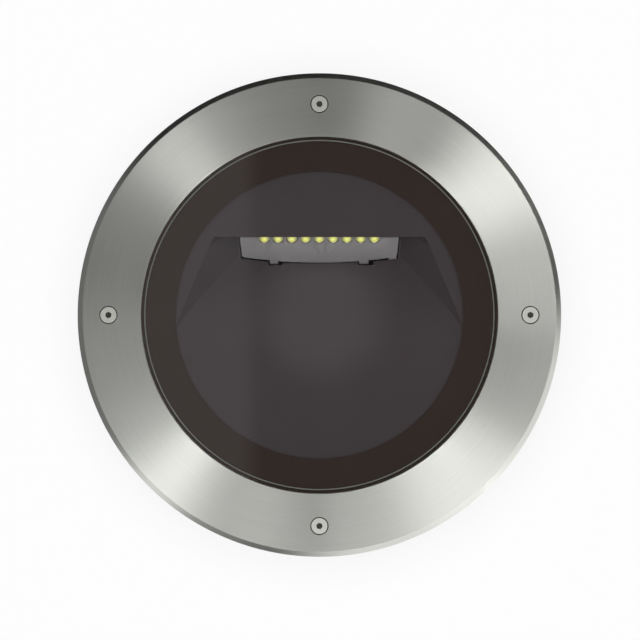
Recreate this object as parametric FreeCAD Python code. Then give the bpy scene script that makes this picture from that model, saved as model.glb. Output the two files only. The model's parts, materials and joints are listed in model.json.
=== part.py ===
import FreeCAD, Part
import os
from math import atan, cos, pi, radians, sin, tan

# In-ground well light with a flat round trim ring, an asymmetric LED optic behind the glass,
# a finned lamp housing and a buried two-piece sleeve. Millimetres.
# +Z points up out of the ground, +Y towards the wall side of the optic (where the LED bar sits),
# and the origin is the middle of the sleeve's flat underside.

V = FreeCAD.Vector
ORIGIN = V(0, 0, 0)
UP = V(0, 0, 1)
ALONG_X = V(1, 0, 0)
ALONG_Y = V(0, 1, 0)
PAST = 1.0                   # how far a cutting tool runs past the face that it cuts
BITE = 1.0                   # how far a rib, boss or web runs into the wall that carries it
RUNNING = 0.05               # radial clearance of a screw or pin in its own hole
LOOSE = 0.2                  # radial clearance of a screw in a hole that it passes through

# ---- driving heights ---------------------------------------------------------------------
TOP = 200.0                  # face of the trim ring
RING_THICK = 6.0
SEAT = TOP - RING_THICK      # flange face that the trim ring is screwed to
FLANGE_THICK = 12.0
FLANGE_UNDER = SEAT - FLANGE_THICK
GLASS_LEDGE = 185.5          # floor of the housing's gasket seat
HOUSING_BOTTOM = 66.0
HOUSING_FLOOR = 72.0
SWIVEL_LEDGE = 112.0         # ledge inside the housing that carries the optic
BAFFLE_TOP = 172.0
BASE_HEIGHT = 62.0
SLEEVE_RIM = 193.5

# ---- cover: trim ring, glass and gasket --------------------------------------------------
RING_R = 125.0
RING_BORE = 92.3
RING_CHAMFER = 2.6
BORE_CHAMFER = 0.4
RING_LIP_IN = 119.5
RING_LIP_DROP = 1.0
GLASS_R = 90.5
GLASS_FLANGE_R = 97.0
GLASS_UNDER = 187.0
GLASS_STEP = 193.0
GLASS_TOP = TOP - 0.2
GLASS_CHAMFER = 0.6
GASKET_IN = 93.0
GASKET_OUT = 99.6

# ---- lamp housing ------------------------------------------------------------------------
FLANGE_R = 115.0
GASKET_SEAT_R = 100.0
CUP_IN = 92.0
CUP_OUT = 96.0
GEAR_IN = 78.0
GEAR_OUT = 82.0
FIN_COUNT = 24
FIN_R = 100.5
FIN_THICK = 2.6
BLIND_FLOOR = 1.5            # metal left under a blind screw hole in the housing's floor

# ---- sleeve ------------------------------------------------------------------------------
TUBE_REBATE = 115.5
TUBE_IN = 110.5
TUBE_OUT = 114.5
TUBE_RIM = 119.0
SPIGOT_OUT = 111.0
SPIGOT_IN = 107.5
SPIGOT_LOW = 48.4
RIB_R = 118.0
RIB_COUNT = 12
RIB_THICK = 2.5
RING_RIB_LOW = 116.0
SOCKET_IN = 111.4
SOCKET_LOW = 48.0
BASE_IN = 106.0
BASE_OUT = 116.0
BASE_FLOOR = 4.0
FOOT_R = 124.0
GUSSET_THICK = 3.0
GUSSET_TOP = 42.0
CONDUIT_BORE = 12.6
CONDUIT_BOSS = 17.5
CONDUIT_Z = 25.0
ANCHOR_CIRCLE = 75.0
ANCHOR_BORE = 2.75
DRAIN_BORE = 10.0
JOINT_Z = 55.0
JOINT_SHANK = 1.75
JOINT_HEAD = 3.4

# ---- fasteners: circle or place, shank radius, head radius -------------------------------
COVER_SCREW_CIRCLE = 109.0
COVER_SCREW_LOW = 184.8
COVER_SHANK = 2.5
COVER_HEAD = 4.25
COVER_MOUTH = 4.75
COVER_SOCKET = 3.0
ORING_R = 3.45
ORING_TUBE = 0.85
LIFT_SCREW_CIRCLE = 108.0
LIFT_SCREW_ANGLES = (45.0, 225.0)
LIFT_SHANK = 2.0
LIFT_HEAD = 3.4
LIFT_SEAT = 189.5
LIFT_BOSS = 5.6
LIFT_BOSS_LOW = 160.0
INSERT_R = 3.3
INSERT_LOW = 170.0
M3 = 1.5
M3_HEAD = 2.7
M3_HEAD_HIGH = 2.4
M3_SOCKET = 2.4

# ---- cable gland and vent ----------------------------------------------------------------
GLAND_X = -38.0
GLAND_Y = -46.0
GLAND_THREAD = 10.0
GLAND_HEX = 24.0
GLAND_SEAL_R = 8.0
GLAND_SEAL_BORE = 5.0
GLAND_SEAL_LOW = 44.5
GLAND_SEAL_HIGH = 57.5
GLAND_NUT_LOW = 42.0
GLAND_NUT_HIGH = 56.5
GLAND_NUT_R = 12.4
GLAND_SPIGOT_R = 10.5
GLAND_ORING_R = 11.2
GLAND_ORING_TUBE = 0.9
VENT_X = 46.0
VENT_Y = -44.0
VENT_THREAD = 6.0

# ---- earth screw, driver and terminal block ----------------------------------------------
EARTH_X = 60.0
EARTH_Y = -22.0
EARTH_SHANK = 2.0
TONGUE_THICK = 1.0
DRIVER_HALF_X = 52.0
DRIVER_Y0 = -8.0
DRIVER_Y1 = 44.0
DRIVER_TOP = 98.0
DRIVER_WALL = 2.0
DRIVER_FEET = ((-58.0, 18.0), (58.0, 18.0))
DRIVER_FOOT_THICK = 3.0
LID_SCREW_X = (-48.0, 48.0)
LID_SCREW_Y = (-4.0, 40.0)
LID_SHANK = 1.25
INPUT_X = (-4.0, 6.0)
INPUT_Z = 88.0
INPUT_BORE = 1.7
SOCKET_R = 6.0
SOCKET_STEM = 4.0
SOCKET_TOP = 109.0
TERMINAL_X0 = -10.0
TERMINAL_X1 = 26.0
TERMINAL_Y = -49.0
TERMINAL_HALF_Y = 9.0
TERMINAL_TOP = 88.0
TERMINAL_WIRE_Z = 78.0
TERMINAL_FEET = (3.0, 13.0)
TERMINAL_POLES = (-2.0, 8.0, 18.0)
LEAD_R = 1.25

# ---- optic -------------------------------------------------------------------------------
BAFFLE_R = 90.0
BAFFLE_SHEET = 2.0
BAFFLE_SKIRT = 8.0
POCKET_SHEET = 1.5
SHIELD_EDGE = 40.6           # straight edge of the shield over the LEDs
POCKET_MOUTH = -3.7          # where the pocket's sloping floor would meet the disc's face
POCKET_SLOPE = 0.71
POCKET_RUNOUT_R = 45.0       # radius that rounds the floor out into the disc's face
POCKET_HALF = (74.0, 57.4, 55.0)
POCKET_BEND = 35.9           # where the pocket's side edge turns in towards the shield
MODULE_GAP = 0.5             # slit round the module's lower edge
TURNTABLE_R = 91.2
TURNTABLE_Z = 114.0
TURNTABLE_SHEET = 2.5
TURNTABLE_TOP = TURNTABLE_Z + TURNTABLE_SHEET
GLIDE_IN = 79.0
GLIDE_OUT = 83.0
LOCK_CIRCLE = 86.0
LOCK_ANGLES = (0.0, 180.0)
LOCK_SHANK = 2.0
LOCK_WASHER_LOW = TURNTABLE_TOP + 0.1
LOCK_WASHER_TOP = LOCK_WASHER_LOW + 0.8
SWIVEL_LIMIT = 30.0
PILLAR_CIRCLE = 71.0
PILLAR_ANGLES = (90.0, 225.0, 315.0)
PILLAR_TOP = 162.0
PLUG_BARREL = 2.75
PLUG_BODY = 5.5
LEAD_EXIT_Z = 123.0
BRACKET_SCREW_X = (-32.0, 32.0)
BRACKET_SCREW_Y = (22.0, 36.0)
BRACKET_SHEET = 1.5

# ---- LED module: made lying flat, then leaned back about its lower front edge ------------
MODULE_LEAN = 37.0
MODULE_Y = 27.5
MODULE_Z = 149.0
MODULE_PLATE = 1.4
MODULE_DEPTH = 6.0
MODULE_LENGTH = 25.0
MODULE_HALF_LOW = 40.6
MODULE_HALF_TOP = 42.4
MODULE_BOW = 3.6             # rise of the lower edge from its middle to its ends
MODULE_CORNER_X = 38.0       # where the bow turns into the rounded corner
MODULE_CORNER_Y = 5.6
MODULE_SCREW_X = (-35.0, -14.4, 14.4, 35.0)
MODULE_SCREW_Y = 20.3
MODULE_SCREW_R = 1.0
LED_COUNT = 9
LED_PITCH = 7.2
LED_LINE = 15.2
LENS_R = 2.7
BOARD_FRONT = -3.3
BOARD_THICK = 1.5
PAD_THICK = 0.4
BOARD_HALF = 38.0
BOARD_LOW = 9.0
BOARD_HIGH = 23.0
SINK_BACK = 3.0
HINGE_BACK = 5.6             # the hinge axis lies this far behind the face, under its lower edge
HINGE_Y = MODULE_Y + HINGE_BACK * sin(radians(MODULE_LEAN))
HINGE_Z = MODULE_Z - HINGE_BACK * cos(radians(MODULE_LEAN))
LUG_R = 4.2
LUGS = ((-26.0, -21.7), (21.0, 25.8))
EAR_GAP = 0.4
PIVOT_R = 1.5


# ---- shared construction -----------------------------------------------------------------
def polygon_face(corners):
    return Part.Face(Part.makePolygon(corners + [corners[0]]))


def turned(profile):
    """A solid turned about Z from (radius, height) points."""
    return polygon_face([V(r, 0, z) for r, z in profile]).revolve(ORIGIN, UP, 360)


def ring(r_in, r_out, z0, z1):
    return turned([(r_in, z0), (r_out, z0), (r_out, z1), (r_in, z1)])


def rod(r, z0, z1, x=0.0, y=0.0):
    return Part.makeCylinder(r, z1 - z0, V(x, y, z0), UP)


def rod_x(r, x0, x1, y, z):
    return Part.makeCylinder(r, x1 - x0, V(x0, y, z), ALONG_X)


def drill(r, z0, z1, x=0.0, y=0.0):
    """An upright tool that runs past both faces of what it goes through."""
    return rod(r, z0 - PAST, z1 + PAST, x, y)


def block(x0, x1, y0, y1, z0, z1):
    return Part.makeBox(x1 - x0, y1 - y0, z1 - z0, V(x0, y0, z0))


def prism(points, z0, z1):
    """An upright prism over a plan outline."""
    return polygon_face([V(x, y, z0) for x, y in points]).extrude(V(0, 0, z1 - z0))


def hex_bar(across_flats, z0, z1, x=0.0, y=0.0):
    corner = across_flats / 2 / cos(pi / 6)
    outline = [(x + corner * cos(i * pi / 3), y + corner * sin(i * pi / 3)) for i in range(6)]
    return prism(outline, z0, z1)


def doughnut(r, tube, z, x=0.0, y=0.0):
    return Part.makeTorus(r, tube, V(x, y, z), UP)


def polar(radius, angle):
    return radius * cos(radians(angle)), radius * sin(radians(angle))


def spun(shape, angle):
    copy = shape.copy()
    copy.rotate(ORIGIN, UP, angle)
    return copy


def moved(shape, x, y, z=0.0):
    copy = shape.copy()
    copy.translate(V(x, y, z))
    return copy


def fused(shapes):
    return shapes[0].multiFuse(shapes[1:]).removeSplitter()


def cut(shape, tools):
    return shape.cut(tools)


def group(shapes):
    return Part.Compound(shapes)


def cap_screw(shank, head, head_high, length, z_under, x, y, socket):
    """A socket cap screw standing head up, its head's underside at z_under."""
    head_top = z_under + head_high
    body = fused([rod(shank, z_under - length, z_under + BITE, x, y),
                  rod(head, z_under, head_top, x, y)])
    return cut(body, [hex_bar(socket, head_top - 0.55 * head_high, head_top + PAST, x, y)])


def lead(points, radius):
    """A round lead along straight runs joined by tangent arcs."""
    points = [V(*p) for p in points]
    share = 0.45             # part of the shorter run at a corner that its arc takes up
    edges = []
    start = points[0]
    for before, corner, after in zip(points, points[1:], points[2:]):
        run_in = corner - before
        run_out = after - corner
        turn = run_in.getAngle(run_out)
        reach = share * min(run_in.Length, run_out.Length)
        u = V(run_in).normalize()
        w = V(run_out).normalize()
        inward = (w - u).normalize()
        bow = reach / tan(turn / 2) * (1 / cos(turn / 2) - 1)
        arc_end = corner + w * reach
        edges.append(Part.LineSegment(start, corner - u * reach).toShape())
        edges.append(Part.Arc(corner - u * reach, corner + inward * bow, arc_end).toShape())
        start = arc_end
    edges.append(Part.LineSegment(start, points[-1]).toShape())
    section = Part.Wire([Part.makeCircle(radius, points[0], points[1] - points[0])])
    return Part.Wire(edges).makePipeShell([section], True, False)


# ---- sleeve: tube, base and what joins them ----------------------------------------------
def sleeve_tube():
    """Upper half of the buried sleeve, with a rebate that the lamp housing's flange drops into."""
    rim_low = 168.0
    rim_full = 174.0
    neck = 68.0
    rib_top = 171.0
    insert_relief = 163.0
    shell = turned([(SPIGOT_OUT, SPIGOT_LOW), (SPIGOT_OUT, BASE_HEIGHT), (TUBE_OUT, BASE_HEIGHT),
                    (TUBE_OUT, rim_low), (TUBE_RIM, rim_full), (TUBE_RIM, SLEEVE_RIM),
                    (TUBE_REBATE, SLEEVE_RIM), (TUBE_REBATE, FLANGE_UNDER),
                    (TUBE_IN, FLANGE_UNDER), (TUBE_IN, neck), (SPIGOT_IN, BASE_HEIGHT),
                    (SPIGOT_IN, SPIGOT_LOW)])
    pieces = [shell, ring(TUBE_OUT - BITE, RIB_R, RING_RIB_LOW, RING_RIB_LOW + RIB_THICK)]
    rib = block(TUBE_OUT - BITE, RIB_R, -RIB_THICK / 2, RIB_THICK / 2, BASE_HEIGHT, rib_top)
    step = 360 / RIB_COUNT
    pieces += [spun(rib, step * (i + 0.5)) for i in range(RIB_COUNT)]
    holes = []
    for angle in LIFT_SCREW_ANGLES:
        x, y = polar(LIFT_SCREW_CIRCLE, angle)
        pieces.append(rod(LIFT_BOSS, LIFT_BOSS_LOW, FLANGE_UNDER, x, y))
        holes.append(rod(INSERT_R, INSERT_LOW, FLANGE_UNDER + PAST, x, y))
        holes.append(rod(LIFT_SHANK + 2 * LOOSE, insert_relief, INSERT_LOW + PAST, x, y))
    pilot = rod_x(JOINT_SHANK + RUNNING, SPIGOT_IN - 2.5, SPIGOT_OUT + 2, 0, JOINT_Z)
    holes += [spun(pilot, 45 + 90 * i) for i in range(4)]
    return cut(fused(pieces), holes)


def sleeve_base():
    """Lower half of the sleeve: floor, foot flange, two conduit entries, anchor and drain holes."""
    shell = turned([(0, 0), (FOOT_R, 0), (FOOT_R, BASE_FLOOR), (BASE_OUT, BASE_FLOOR),
                    (BASE_OUT, BASE_HEIGHT), (SOCKET_IN, BASE_HEIGHT), (SOCKET_IN, SOCKET_LOW),
                    (BASE_IN, SOCKET_LOW), (BASE_IN, BASE_FLOOR), (0, BASE_FLOOR)])
    half = GUSSET_THICK / 2
    inner = BASE_OUT - BITE
    side = [V(inner, -half, BASE_FLOOR - BITE), V(FOOT_R - 1, -half, BASE_FLOOR - BITE),
            V(inner, -half, GUSSET_TOP)]
    gusset = polygon_face(side).extrude(V(0, GUSSET_THICK, 0))
    step = 360 / RIB_COUNT
    pieces = [shell] + [spun(gusset, step * (i + 0.5)) for i in range(RIB_COUNT)]
    holes = [rod(BASE_IN, BASE_FLOOR, SOCKET_LOW), drill(DRAIN_BORE, 0, BASE_FLOOR)]
    for side in (0, 180):
        pieces.append(spun(rod_x(CONDUIT_BOSS, BASE_IN - 3, FOOT_R, 0, CONDUIT_Z), side))
        holes.append(spun(rod_x(CONDUIT_BORE, BASE_IN - 8, FOOT_R + 2, 0, CONDUIT_Z), side))
    clearance = rod_x(JOINT_SHANK + LOOSE, BASE_IN, BASE_OUT + 2, 0, JOINT_Z)
    for i in range(4):
        holes.append(drill(ANCHOR_BORE, 0, BASE_FLOOR, *polar(ANCHOR_CIRCLE, 45 + 90 * i)))
        holes.append(spun(clearance, 45 + 90 * i))
    return cut(fused(pieces), holes)


def sleeve_screws():
    """Four self-tapping screws through the base's socket into the tube's spigot."""
    head_low = BASE_OUT + 0.05
    head_high = BASE_OUT + 2.2
    recess = BASE_OUT + 1.2
    wide = 2.2
    narrow = 0.4
    shank = rod_x(JOINT_SHANK, BASE_IN, head_low + 0.45, 0, JOINT_Z)
    head = rod_x(JOINT_HEAD, head_low, head_high, 0, JOINT_Z)
    flat_slot = block(recess, head_high + PAST, -wide, wide, JOINT_Z - narrow, JOINT_Z + narrow)
    tall_slot = block(recess, head_high + PAST, -narrow, narrow, JOINT_Z - wide, JOINT_Z + wide)
    screw = cut(fused([shank, head]), [flat_slot, tall_slot])
    return group([spun(screw, 45 + 90 * i) for i in range(4)])


def brass_inserts():
    """Threaded inserts in the sleeve's rim bosses for the lift screws."""
    inserts = []
    for angle in LIFT_SCREW_ANGLES:
        x, y = polar(LIFT_SCREW_CIRCLE, angle)
        body = rod(INSERT_R - 0.02, INSERT_LOW, FLANGE_UNDER - 0.1, x, y)
        inserts.append(cut(body, [drill(LIFT_SHANK + RUNNING, INSERT_LOW, FLANGE_UNDER, x, y)]))
    return group(inserts)


# ---- lamp housing and its fittings -------------------------------------------------------
def housing_fin():
    """One upright fin: it follows the gear pot below and the optic cup above."""
    side = [(80, 71), (90, 71), (FIN_R, 82), (FIN_R, 172), (96, 179), (94, 179), (94, 112), (80, 98)]
    face = polygon_face([V(r, -FIN_THICK / 2, z) for r, z in side])
    return face.extrude(V(0, FIN_THICK, 0))


def housing_holes():
    """Holes for the gland, vent, earth screw, cover, lift and lock screws, driver and terminal feet."""
    through = HOUSING_BOTTOM, HOUSING_FLOOR
    blind = HOUSING_BOTTOM + BLIND_FLOOR, HOUSING_FLOOR + PAST
    holes = [drill(GLAND_THREAD + 0.1, *through, GLAND_X, GLAND_Y),
             drill(VENT_THREAD + 0.1, *through, VENT_X, VENT_Y),
             rod(EARTH_SHANK + RUNNING, *blind, EARTH_X, EARTH_Y)]
    for i in range(4):
        x, y = polar(COVER_SCREW_CIRCLE, 90 * i)
        holes.append(rod(COVER_SHANK + RUNNING, FLANGE_UNDER + 2, SEAT + PAST, x, y))
    for angle in LIFT_SCREW_ANGLES:
        x, y = polar(LIFT_SCREW_CIRCLE, angle)
        holes.append(drill(LIFT_SHANK + LOOSE, FLANGE_UNDER, SEAT, x, y))
        holes.append(rod(LIFT_HEAD + 0.5, LIFT_SEAT, SEAT + PAST, x, y))
    for angle in LOCK_ANGLES:
        x, y = polar(LOCK_CIRCLE, angle)
        holes.append(rod(LOCK_SHANK + RUNNING, SWIVEL_LEDGE - 8, SWIVEL_LEDGE + PAST, x, y))
    feet = list(DRIVER_FEET) + [(x, TERMINAL_Y) for x in TERMINAL_FEET]
    return holes + [rod(M3 + RUNNING, *blind, x, y) for x, y in feet]


def lamp_housing():
    """Die-cast pot: gear space below, optic space above, fins outside, flange on top."""
    shell = turned([(0, HOUSING_BOTTOM), (GEAR_OUT - 4, HOUSING_BOTTOM), (GEAR_OUT, HOUSING_BOTTOM + 4),
                    (GEAR_OUT, 98.0), (CUP_OUT, 108.0), (CUP_OUT, FLANGE_UNDER), (FLANGE_R, FLANGE_UNDER),
                    (FLANGE_R, SEAT), (GASKET_SEAT_R, SEAT), (GASKET_SEAT_R, GLASS_LEDGE),
                    (CUP_IN, GLASS_LEDGE), (CUP_IN, SWIVEL_LEDGE), (GEAR_IN, SWIVEL_LEDGE),
                    (GEAR_IN, HOUSING_FLOOR + 4), (GEAR_IN - 4, HOUSING_FLOOR), (0, HOUSING_FLOOR)])
    fin = housing_fin()
    step = 360 / FIN_COUNT
    fins = [spun(fin, step * (i + 0.5)) for i in range(FIN_COUNT)]
    return cut(fused([shell] + fins), housing_holes())


def lift_screws():
    """Two captive screws that hold the housing down in the sleeve."""
    head_high = 3.8
    length = 19.0
    return group([cap_screw(LIFT_SHANK, LIFT_HEAD, head_high, length, LIFT_SEAT + 0.1,
                            *polar(LIFT_SCREW_CIRCLE, angle), 3.0) for angle in LIFT_SCREW_ANGLES])


def gland_body():
    """Cable gland body: threaded spigots above and below a hexagon with a face groove."""
    hex_low = 57.0
    thread_top = 77.5
    groove_low = 64.2
    groove_r = 12.3
    cable_r = 6.5
    body = fused([hex_bar(GLAND_HEX, hex_low, HOUSING_BOTTOM, GLAND_X, GLAND_Y),
                  rod(GLAND_THREAD, HOUSING_BOTTOM - BITE, thread_top, GLAND_X, GLAND_Y),
                  rod(GLAND_SPIGOT_R, 47.0, GLAND_SEAL_HIGH, GLAND_X, GLAND_Y)])
    groove = moved(ring(GLAND_THREAD, groove_r, groove_low, HOUSING_BOTTOM + PAST), GLAND_X, GLAND_Y)
    passage = rod(cable_r, 50.0, thread_top + PAST, GLAND_X, GLAND_Y)
    seat = rod(GLAND_SEAL_R + RUNNING, GLAND_SEAL_LOW, GLAND_SEAL_HIGH + 0.5, GLAND_X, GLAND_Y)
    return cut(body, [groove, passage, seat])


def gland_oring():
    return doughnut(GLAND_ORING_R, GLAND_ORING_TUBE, HOUSING_BOTTOM - GLAND_ORING_TUBE, GLAND_X, GLAND_Y)


def gland_seal():
    body = rod(GLAND_SEAL_R, GLAND_SEAL_LOW, GLAND_SEAL_HIGH, GLAND_X, GLAND_Y)
    return cut(body, [drill(GLAND_SEAL_BORE, GLAND_SEAL_LOW, GLAND_SEAL_HIGH, GLAND_X, GLAND_Y)])


def gland_nut():
    """Domed gland nut with grip flutes."""
    low = GLAND_NUT_LOW
    high = GLAND_NUT_HIGH
    body = turned([(0, low), (GLAND_NUT_R - 2, low), (GLAND_NUT_R, low + 2), (GLAND_NUT_R, high), (0, high)])
    flute = rod(1.2, low + 4, high + PAST)
    flutes = [moved(flute, *polar(GLAND_NUT_R + 0.6, 30 * i)) for i in range(12)]
    bores = [rod(GLAND_SPIGOT_R + RUNNING, low + 4.5, high + PAST),
             rod(GLAND_SEAL_R + 2 * LOOSE, low + 2, low + 5), rod(6.2, low - PAST, low + 3)]
    return moved(cut(body, bores + flutes), GLAND_X, GLAND_Y)


def gland_locknut():
    top = HOUSING_FLOOR + 4
    body = hex_bar(GLAND_HEX, HOUSING_FLOOR, top, GLAND_X, GLAND_Y)
    return cut(body, [drill(GLAND_THREAD + RUNNING, HOUSING_FLOOR, top, GLAND_X, GLAND_Y)])


def vent_plug():
    """Membrane vent that lets the pot breathe without letting water in."""
    head_low = 61.5
    neck_top = 74.0
    head = rod(8.5, head_low, HOUSING_BOTTOM)
    neck = rod(VENT_THREAD, HOUSING_BOTTOM - BITE, neck_top)
    slot = block(5.0, 10.0, -0.6, 0.6, head_low + 1.1, head_low + 3.1)
    slots = [spun(slot, 60 * i) for i in range(6)]
    passage = rod(2.5, head_low + 1.5, neck_top + PAST)
    return moved(cut(fused([head, neck]), slots + [passage]), VENT_X, VENT_Y)


def driver_case():
    """Driver's open box with two screw feet, four lid bosses and two input holes."""
    half = DRIVER_HALF_X
    wall = DRIVER_WALL
    outer = block(-half, half, DRIVER_Y0, DRIVER_Y1, HOUSING_FLOOR, DRIVER_TOP)
    inner = block(-half + wall, half - wall, DRIVER_Y0 + wall, DRIVER_Y1 - wall,
                  HOUSING_FLOOR + wall, DRIVER_TOP + PAST)
    pieces = [cut(outer, [inner])]
    holes = []
    for x, y in DRIVER_FEET:
        low, high = sorted((x + 4.5 if x > 0 else x - 4.5, half - BITE if x > 0 else BITE - half))
        pieces.append(block(low, high, y - 6, y + 6, HOUSING_FLOOR, HOUSING_FLOOR + DRIVER_FOOT_THICK))
        holes.append(drill(M3 + LOOSE, HOUSING_FLOOR, HOUSING_FLOOR + DRIVER_FOOT_THICK, x, y))
    for x in LID_SCREW_X:
        for y in LID_SCREW_Y:
            pieces.append(rod(3.0, HOUSING_FLOOR + BITE, DRIVER_TOP, x, y))
            holes.append(rod(LID_SHANK + RUNNING, DRIVER_TOP - 8, DRIVER_TOP + PAST, x, y))
    for x in INPUT_X:
        holes.append(Part.makeCylinder(INPUT_BORE, wall + 2 * PAST, V(x, DRIVER_Y0 - PAST, INPUT_Z), ALONG_Y))
    return cut(fused(pieces), holes)


def driver_lid():
    top = DRIVER_TOP + DRIVER_WALL
    lid = block(-DRIVER_HALF_X, DRIVER_HALF_X, DRIVER_Y0, DRIVER_Y1, DRIVER_TOP, top)
    holes = [drill(LID_SHANK + LOOSE, DRIVER_TOP, top, x, y) for x in LID_SCREW_X for y in LID_SCREW_Y]
    return cut(lid, holes + [drill(SOCKET_STEM + RUNNING, DRIVER_TOP, top)])


def driver_lid_screws():
    under = DRIVER_TOP + DRIVER_WALL
    return group([cap_screw(LID_SHANK, 2.2, 1.6, 7.0, under, x, y, 1.6)
                  for x in LID_SCREW_X for y in LID_SCREW_Y])


def driver_mount_screws():
    under = HOUSING_FLOOR + DRIVER_FOOT_THICK
    return group([cap_screw(M3, M3_HEAD, M3_HEAD_HIGH, 6.0, under, x, y, M3_SOCKET) for x, y in DRIVER_FEET])


def driver_board():
    """Populated circuit board of the driver: board, transformer, choke and two capacitors."""
    low = HOUSING_FLOOR + 5.0
    top = low + 1.5
    tall = top + 15
    board = block(-44, 44, DRIVER_Y0 + 4, DRIVER_Y1 - 4, low, low + 1.6)
    transformer = block(-12, 12, 8, 30, top, tall)
    choke = block(-36, -24, 4, 18, top, top + 9)
    relay = block(-38, -24, 24, 34, top, top + 6)
    capacitors = [rod(5.0, top, tall, 26, y) for y in (10, 27)]
    return fused([board, transformer, choke, relay] + capacitors)


def driver_socket():
    """Round two-pole outlet on the swivel axis, so that the plug can turn in it."""
    lid_top = DRIVER_TOP + DRIVER_WALL
    well_low = lid_top + 2
    body = fused([rod(SOCKET_R, lid_top, SOCKET_TOP), rod(SOCKET_STEM, DRIVER_TOP - 1, lid_top + BITE)])
    body = cut(body, [rod(PLUG_BARREL + 0.1, well_low, SOCKET_TOP + PAST)])
    return fused([body, rod(0.8, well_low - BITE, SOCKET_TOP - 1)])


def terminal_block():
    """Three-pole block with wire entries, screw wells and two mounting holes."""
    x0, x1, y, top = TERMINAL_X0, TERMINAL_X1, TERMINAL_Y, TERMINAL_TOP
    half = TERMINAL_HALF_Y
    step_z = top - 5
    body = block(x0, x1, y - half, y + half, HOUSING_FLOOR, top)
    holes = [block(x0 - PAST, x1 + PAST, y - half - PAST, y - 5, step_z, top + PAST),
             block(x0 - PAST, x1 + PAST, y + 5, y + half + PAST, step_z, top + PAST)]
    for x in TERMINAL_POLES:
        entry = V(x, y - half - PAST, TERMINAL_WIRE_Z)
        holes.append(Part.makeCylinder(2.0, 2 * (half + PAST), entry, ALONG_Y))
        holes.append(rod(2.0, TERMINAL_WIRE_Z, top + PAST, x, y))
    for x in TERMINAL_FEET:
        holes.append(drill(M3 + LOOSE, HOUSING_FLOOR, top, x, y))
        holes.append(rod(M3_HEAD + LOOSE, top - 4, top + PAST, x, y))
    return cut(body, holes)


def terminal_screws():
    """Slotted clamp screws, one over each pole."""
    low = TERMINAL_WIRE_Z + 2.2
    top = TERMINAL_TOP - 1.5
    screws = []
    for x in TERMINAL_POLES:
        slot = block(x - 2.5, x + 2.5, TERMINAL_Y - 0.4, TERMINAL_Y + 0.4, top - 1, top + PAST)
        screws.append(cut(rod(1.9, low, top, x, TERMINAL_Y), [slot]))
    return group(screws)


def terminal_mount_screws():
    under = TERMINAL_TOP - 4
    return group([cap_screw(M3, M3_HEAD, 2.0, 15.5, under, x, TERMINAL_Y, M3_SOCKET)
                  for x in TERMINAL_FEET])


def earth_screw():
    return cap_screw(EARTH_SHANK, 3.5, 2.8, 5.5, HOUSING_FLOOR + 2.2, EARTH_X, EARTH_Y, 2.5)


def earth_tongue():
    """Ring tongue under the earth screw, with the barrel that grips the lead."""
    top = HOUSING_FLOOR + TONGUE_THICK
    axis_z = HOUSING_FLOOR + 1.8
    barrel_x = EARTH_X - 14
    flat = cut(rod(4.2, HOUSING_FLOOR, top, EARTH_X, EARTH_Y),
               [drill(EARTH_SHANK + 0.1, HOUSING_FLOOR, top, EARTH_X, EARTH_Y)])
    arm = block(EARTH_X - 10, EARTH_X - 3.5, EARTH_Y - 1.6, EARTH_Y + 1.6, HOUSING_FLOOR, top)
    barrel = rod_x(1.8, barrel_x, EARTH_X - 7, EARTH_Y, axis_z)
    bore = rod_x(LEAD_R + LOOSE, barrel_x - PAST, EARTH_X - 8, EARTH_Y, axis_z)
    return cut(fused([flat, arm, barrel]), [bore])


def earth_washer():
    low = HOUSING_FLOOR + TONGUE_THICK
    top = HOUSING_FLOOR + 2.15
    return cut(rod(3.8, low, top, EARTH_X, EARTH_Y), [drill(EARTH_SHANK + 0.1, low, top, EARTH_X, EARTH_Y)])


def driver_lead(pole, entry, swing, lean):
    """A lead from one pole of the terminal block into one input of the driver."""
    start = TERMINAL_Y + 2.5
    return lead([(pole, start, TERMINAL_WIRE_Z), (pole, start + 12.5, TERMINAL_WIRE_Z + 1),
                 (pole + swing, start + 22.5, TERMINAL_WIRE_Z + 6), (entry + lean, DRIVER_Y0 - 9, INPUT_Z),
                 (entry, DRIVER_Y0 + 1.5, INPUT_Z)], LEAD_R)


def lead_live():
    return driver_lead(TERMINAL_POLES[0], INPUT_X[0], -4, -1)


def lead_neutral():
    return driver_lead(TERMINAL_POLES[1], INPUT_X[1], 3, 1)


def lead_earth():
    """The earth lead, from its pole round to the ring tongue."""
    x0 = TERMINAL_POLES[2]
    start = TERMINAL_Y + 2.5
    axis_z = HOUSING_FLOOR + 1.8
    return lead([(x0, start, TERMINAL_WIRE_Z), (x0, start + 12.5, TERMINAL_WIRE_Z + 0.5),
                 (x0 + 8, start + 22.5, TERMINAL_WIRE_Z + 2), (x0 + 18, EARTH_Y - 0.5, TERMINAL_WIRE_Z - 1),
                 (EARTH_X - 20, EARTH_Y, axis_z + 0.4), (EARTH_X - 9, EARTH_Y, axis_z)], LEAD_R)


def glide_ring():
    return ring(GLIDE_IN, GLIDE_OUT, SWIVEL_LEDGE, TURNTABLE_Z)


def lock_screws():
    """Two screws that clamp the turntable at the chosen bearing."""
    return group([cap_screw(LOCK_SHANK, 3.4, 3.0, 11.5, LOCK_WASHER_TOP, *polar(LOCK_CIRCLE, angle), 3.0)
                  for angle in LOCK_ANGLES])


def lock_washers():
    washer = ring(LOCK_SHANK + 0.15, 4.4, LOCK_WASHER_LOW, LOCK_WASHER_TOP)
    return group([moved(washer, *polar(LOCK_CIRCLE, angle)) for angle in LOCK_ANGLES])


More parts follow.
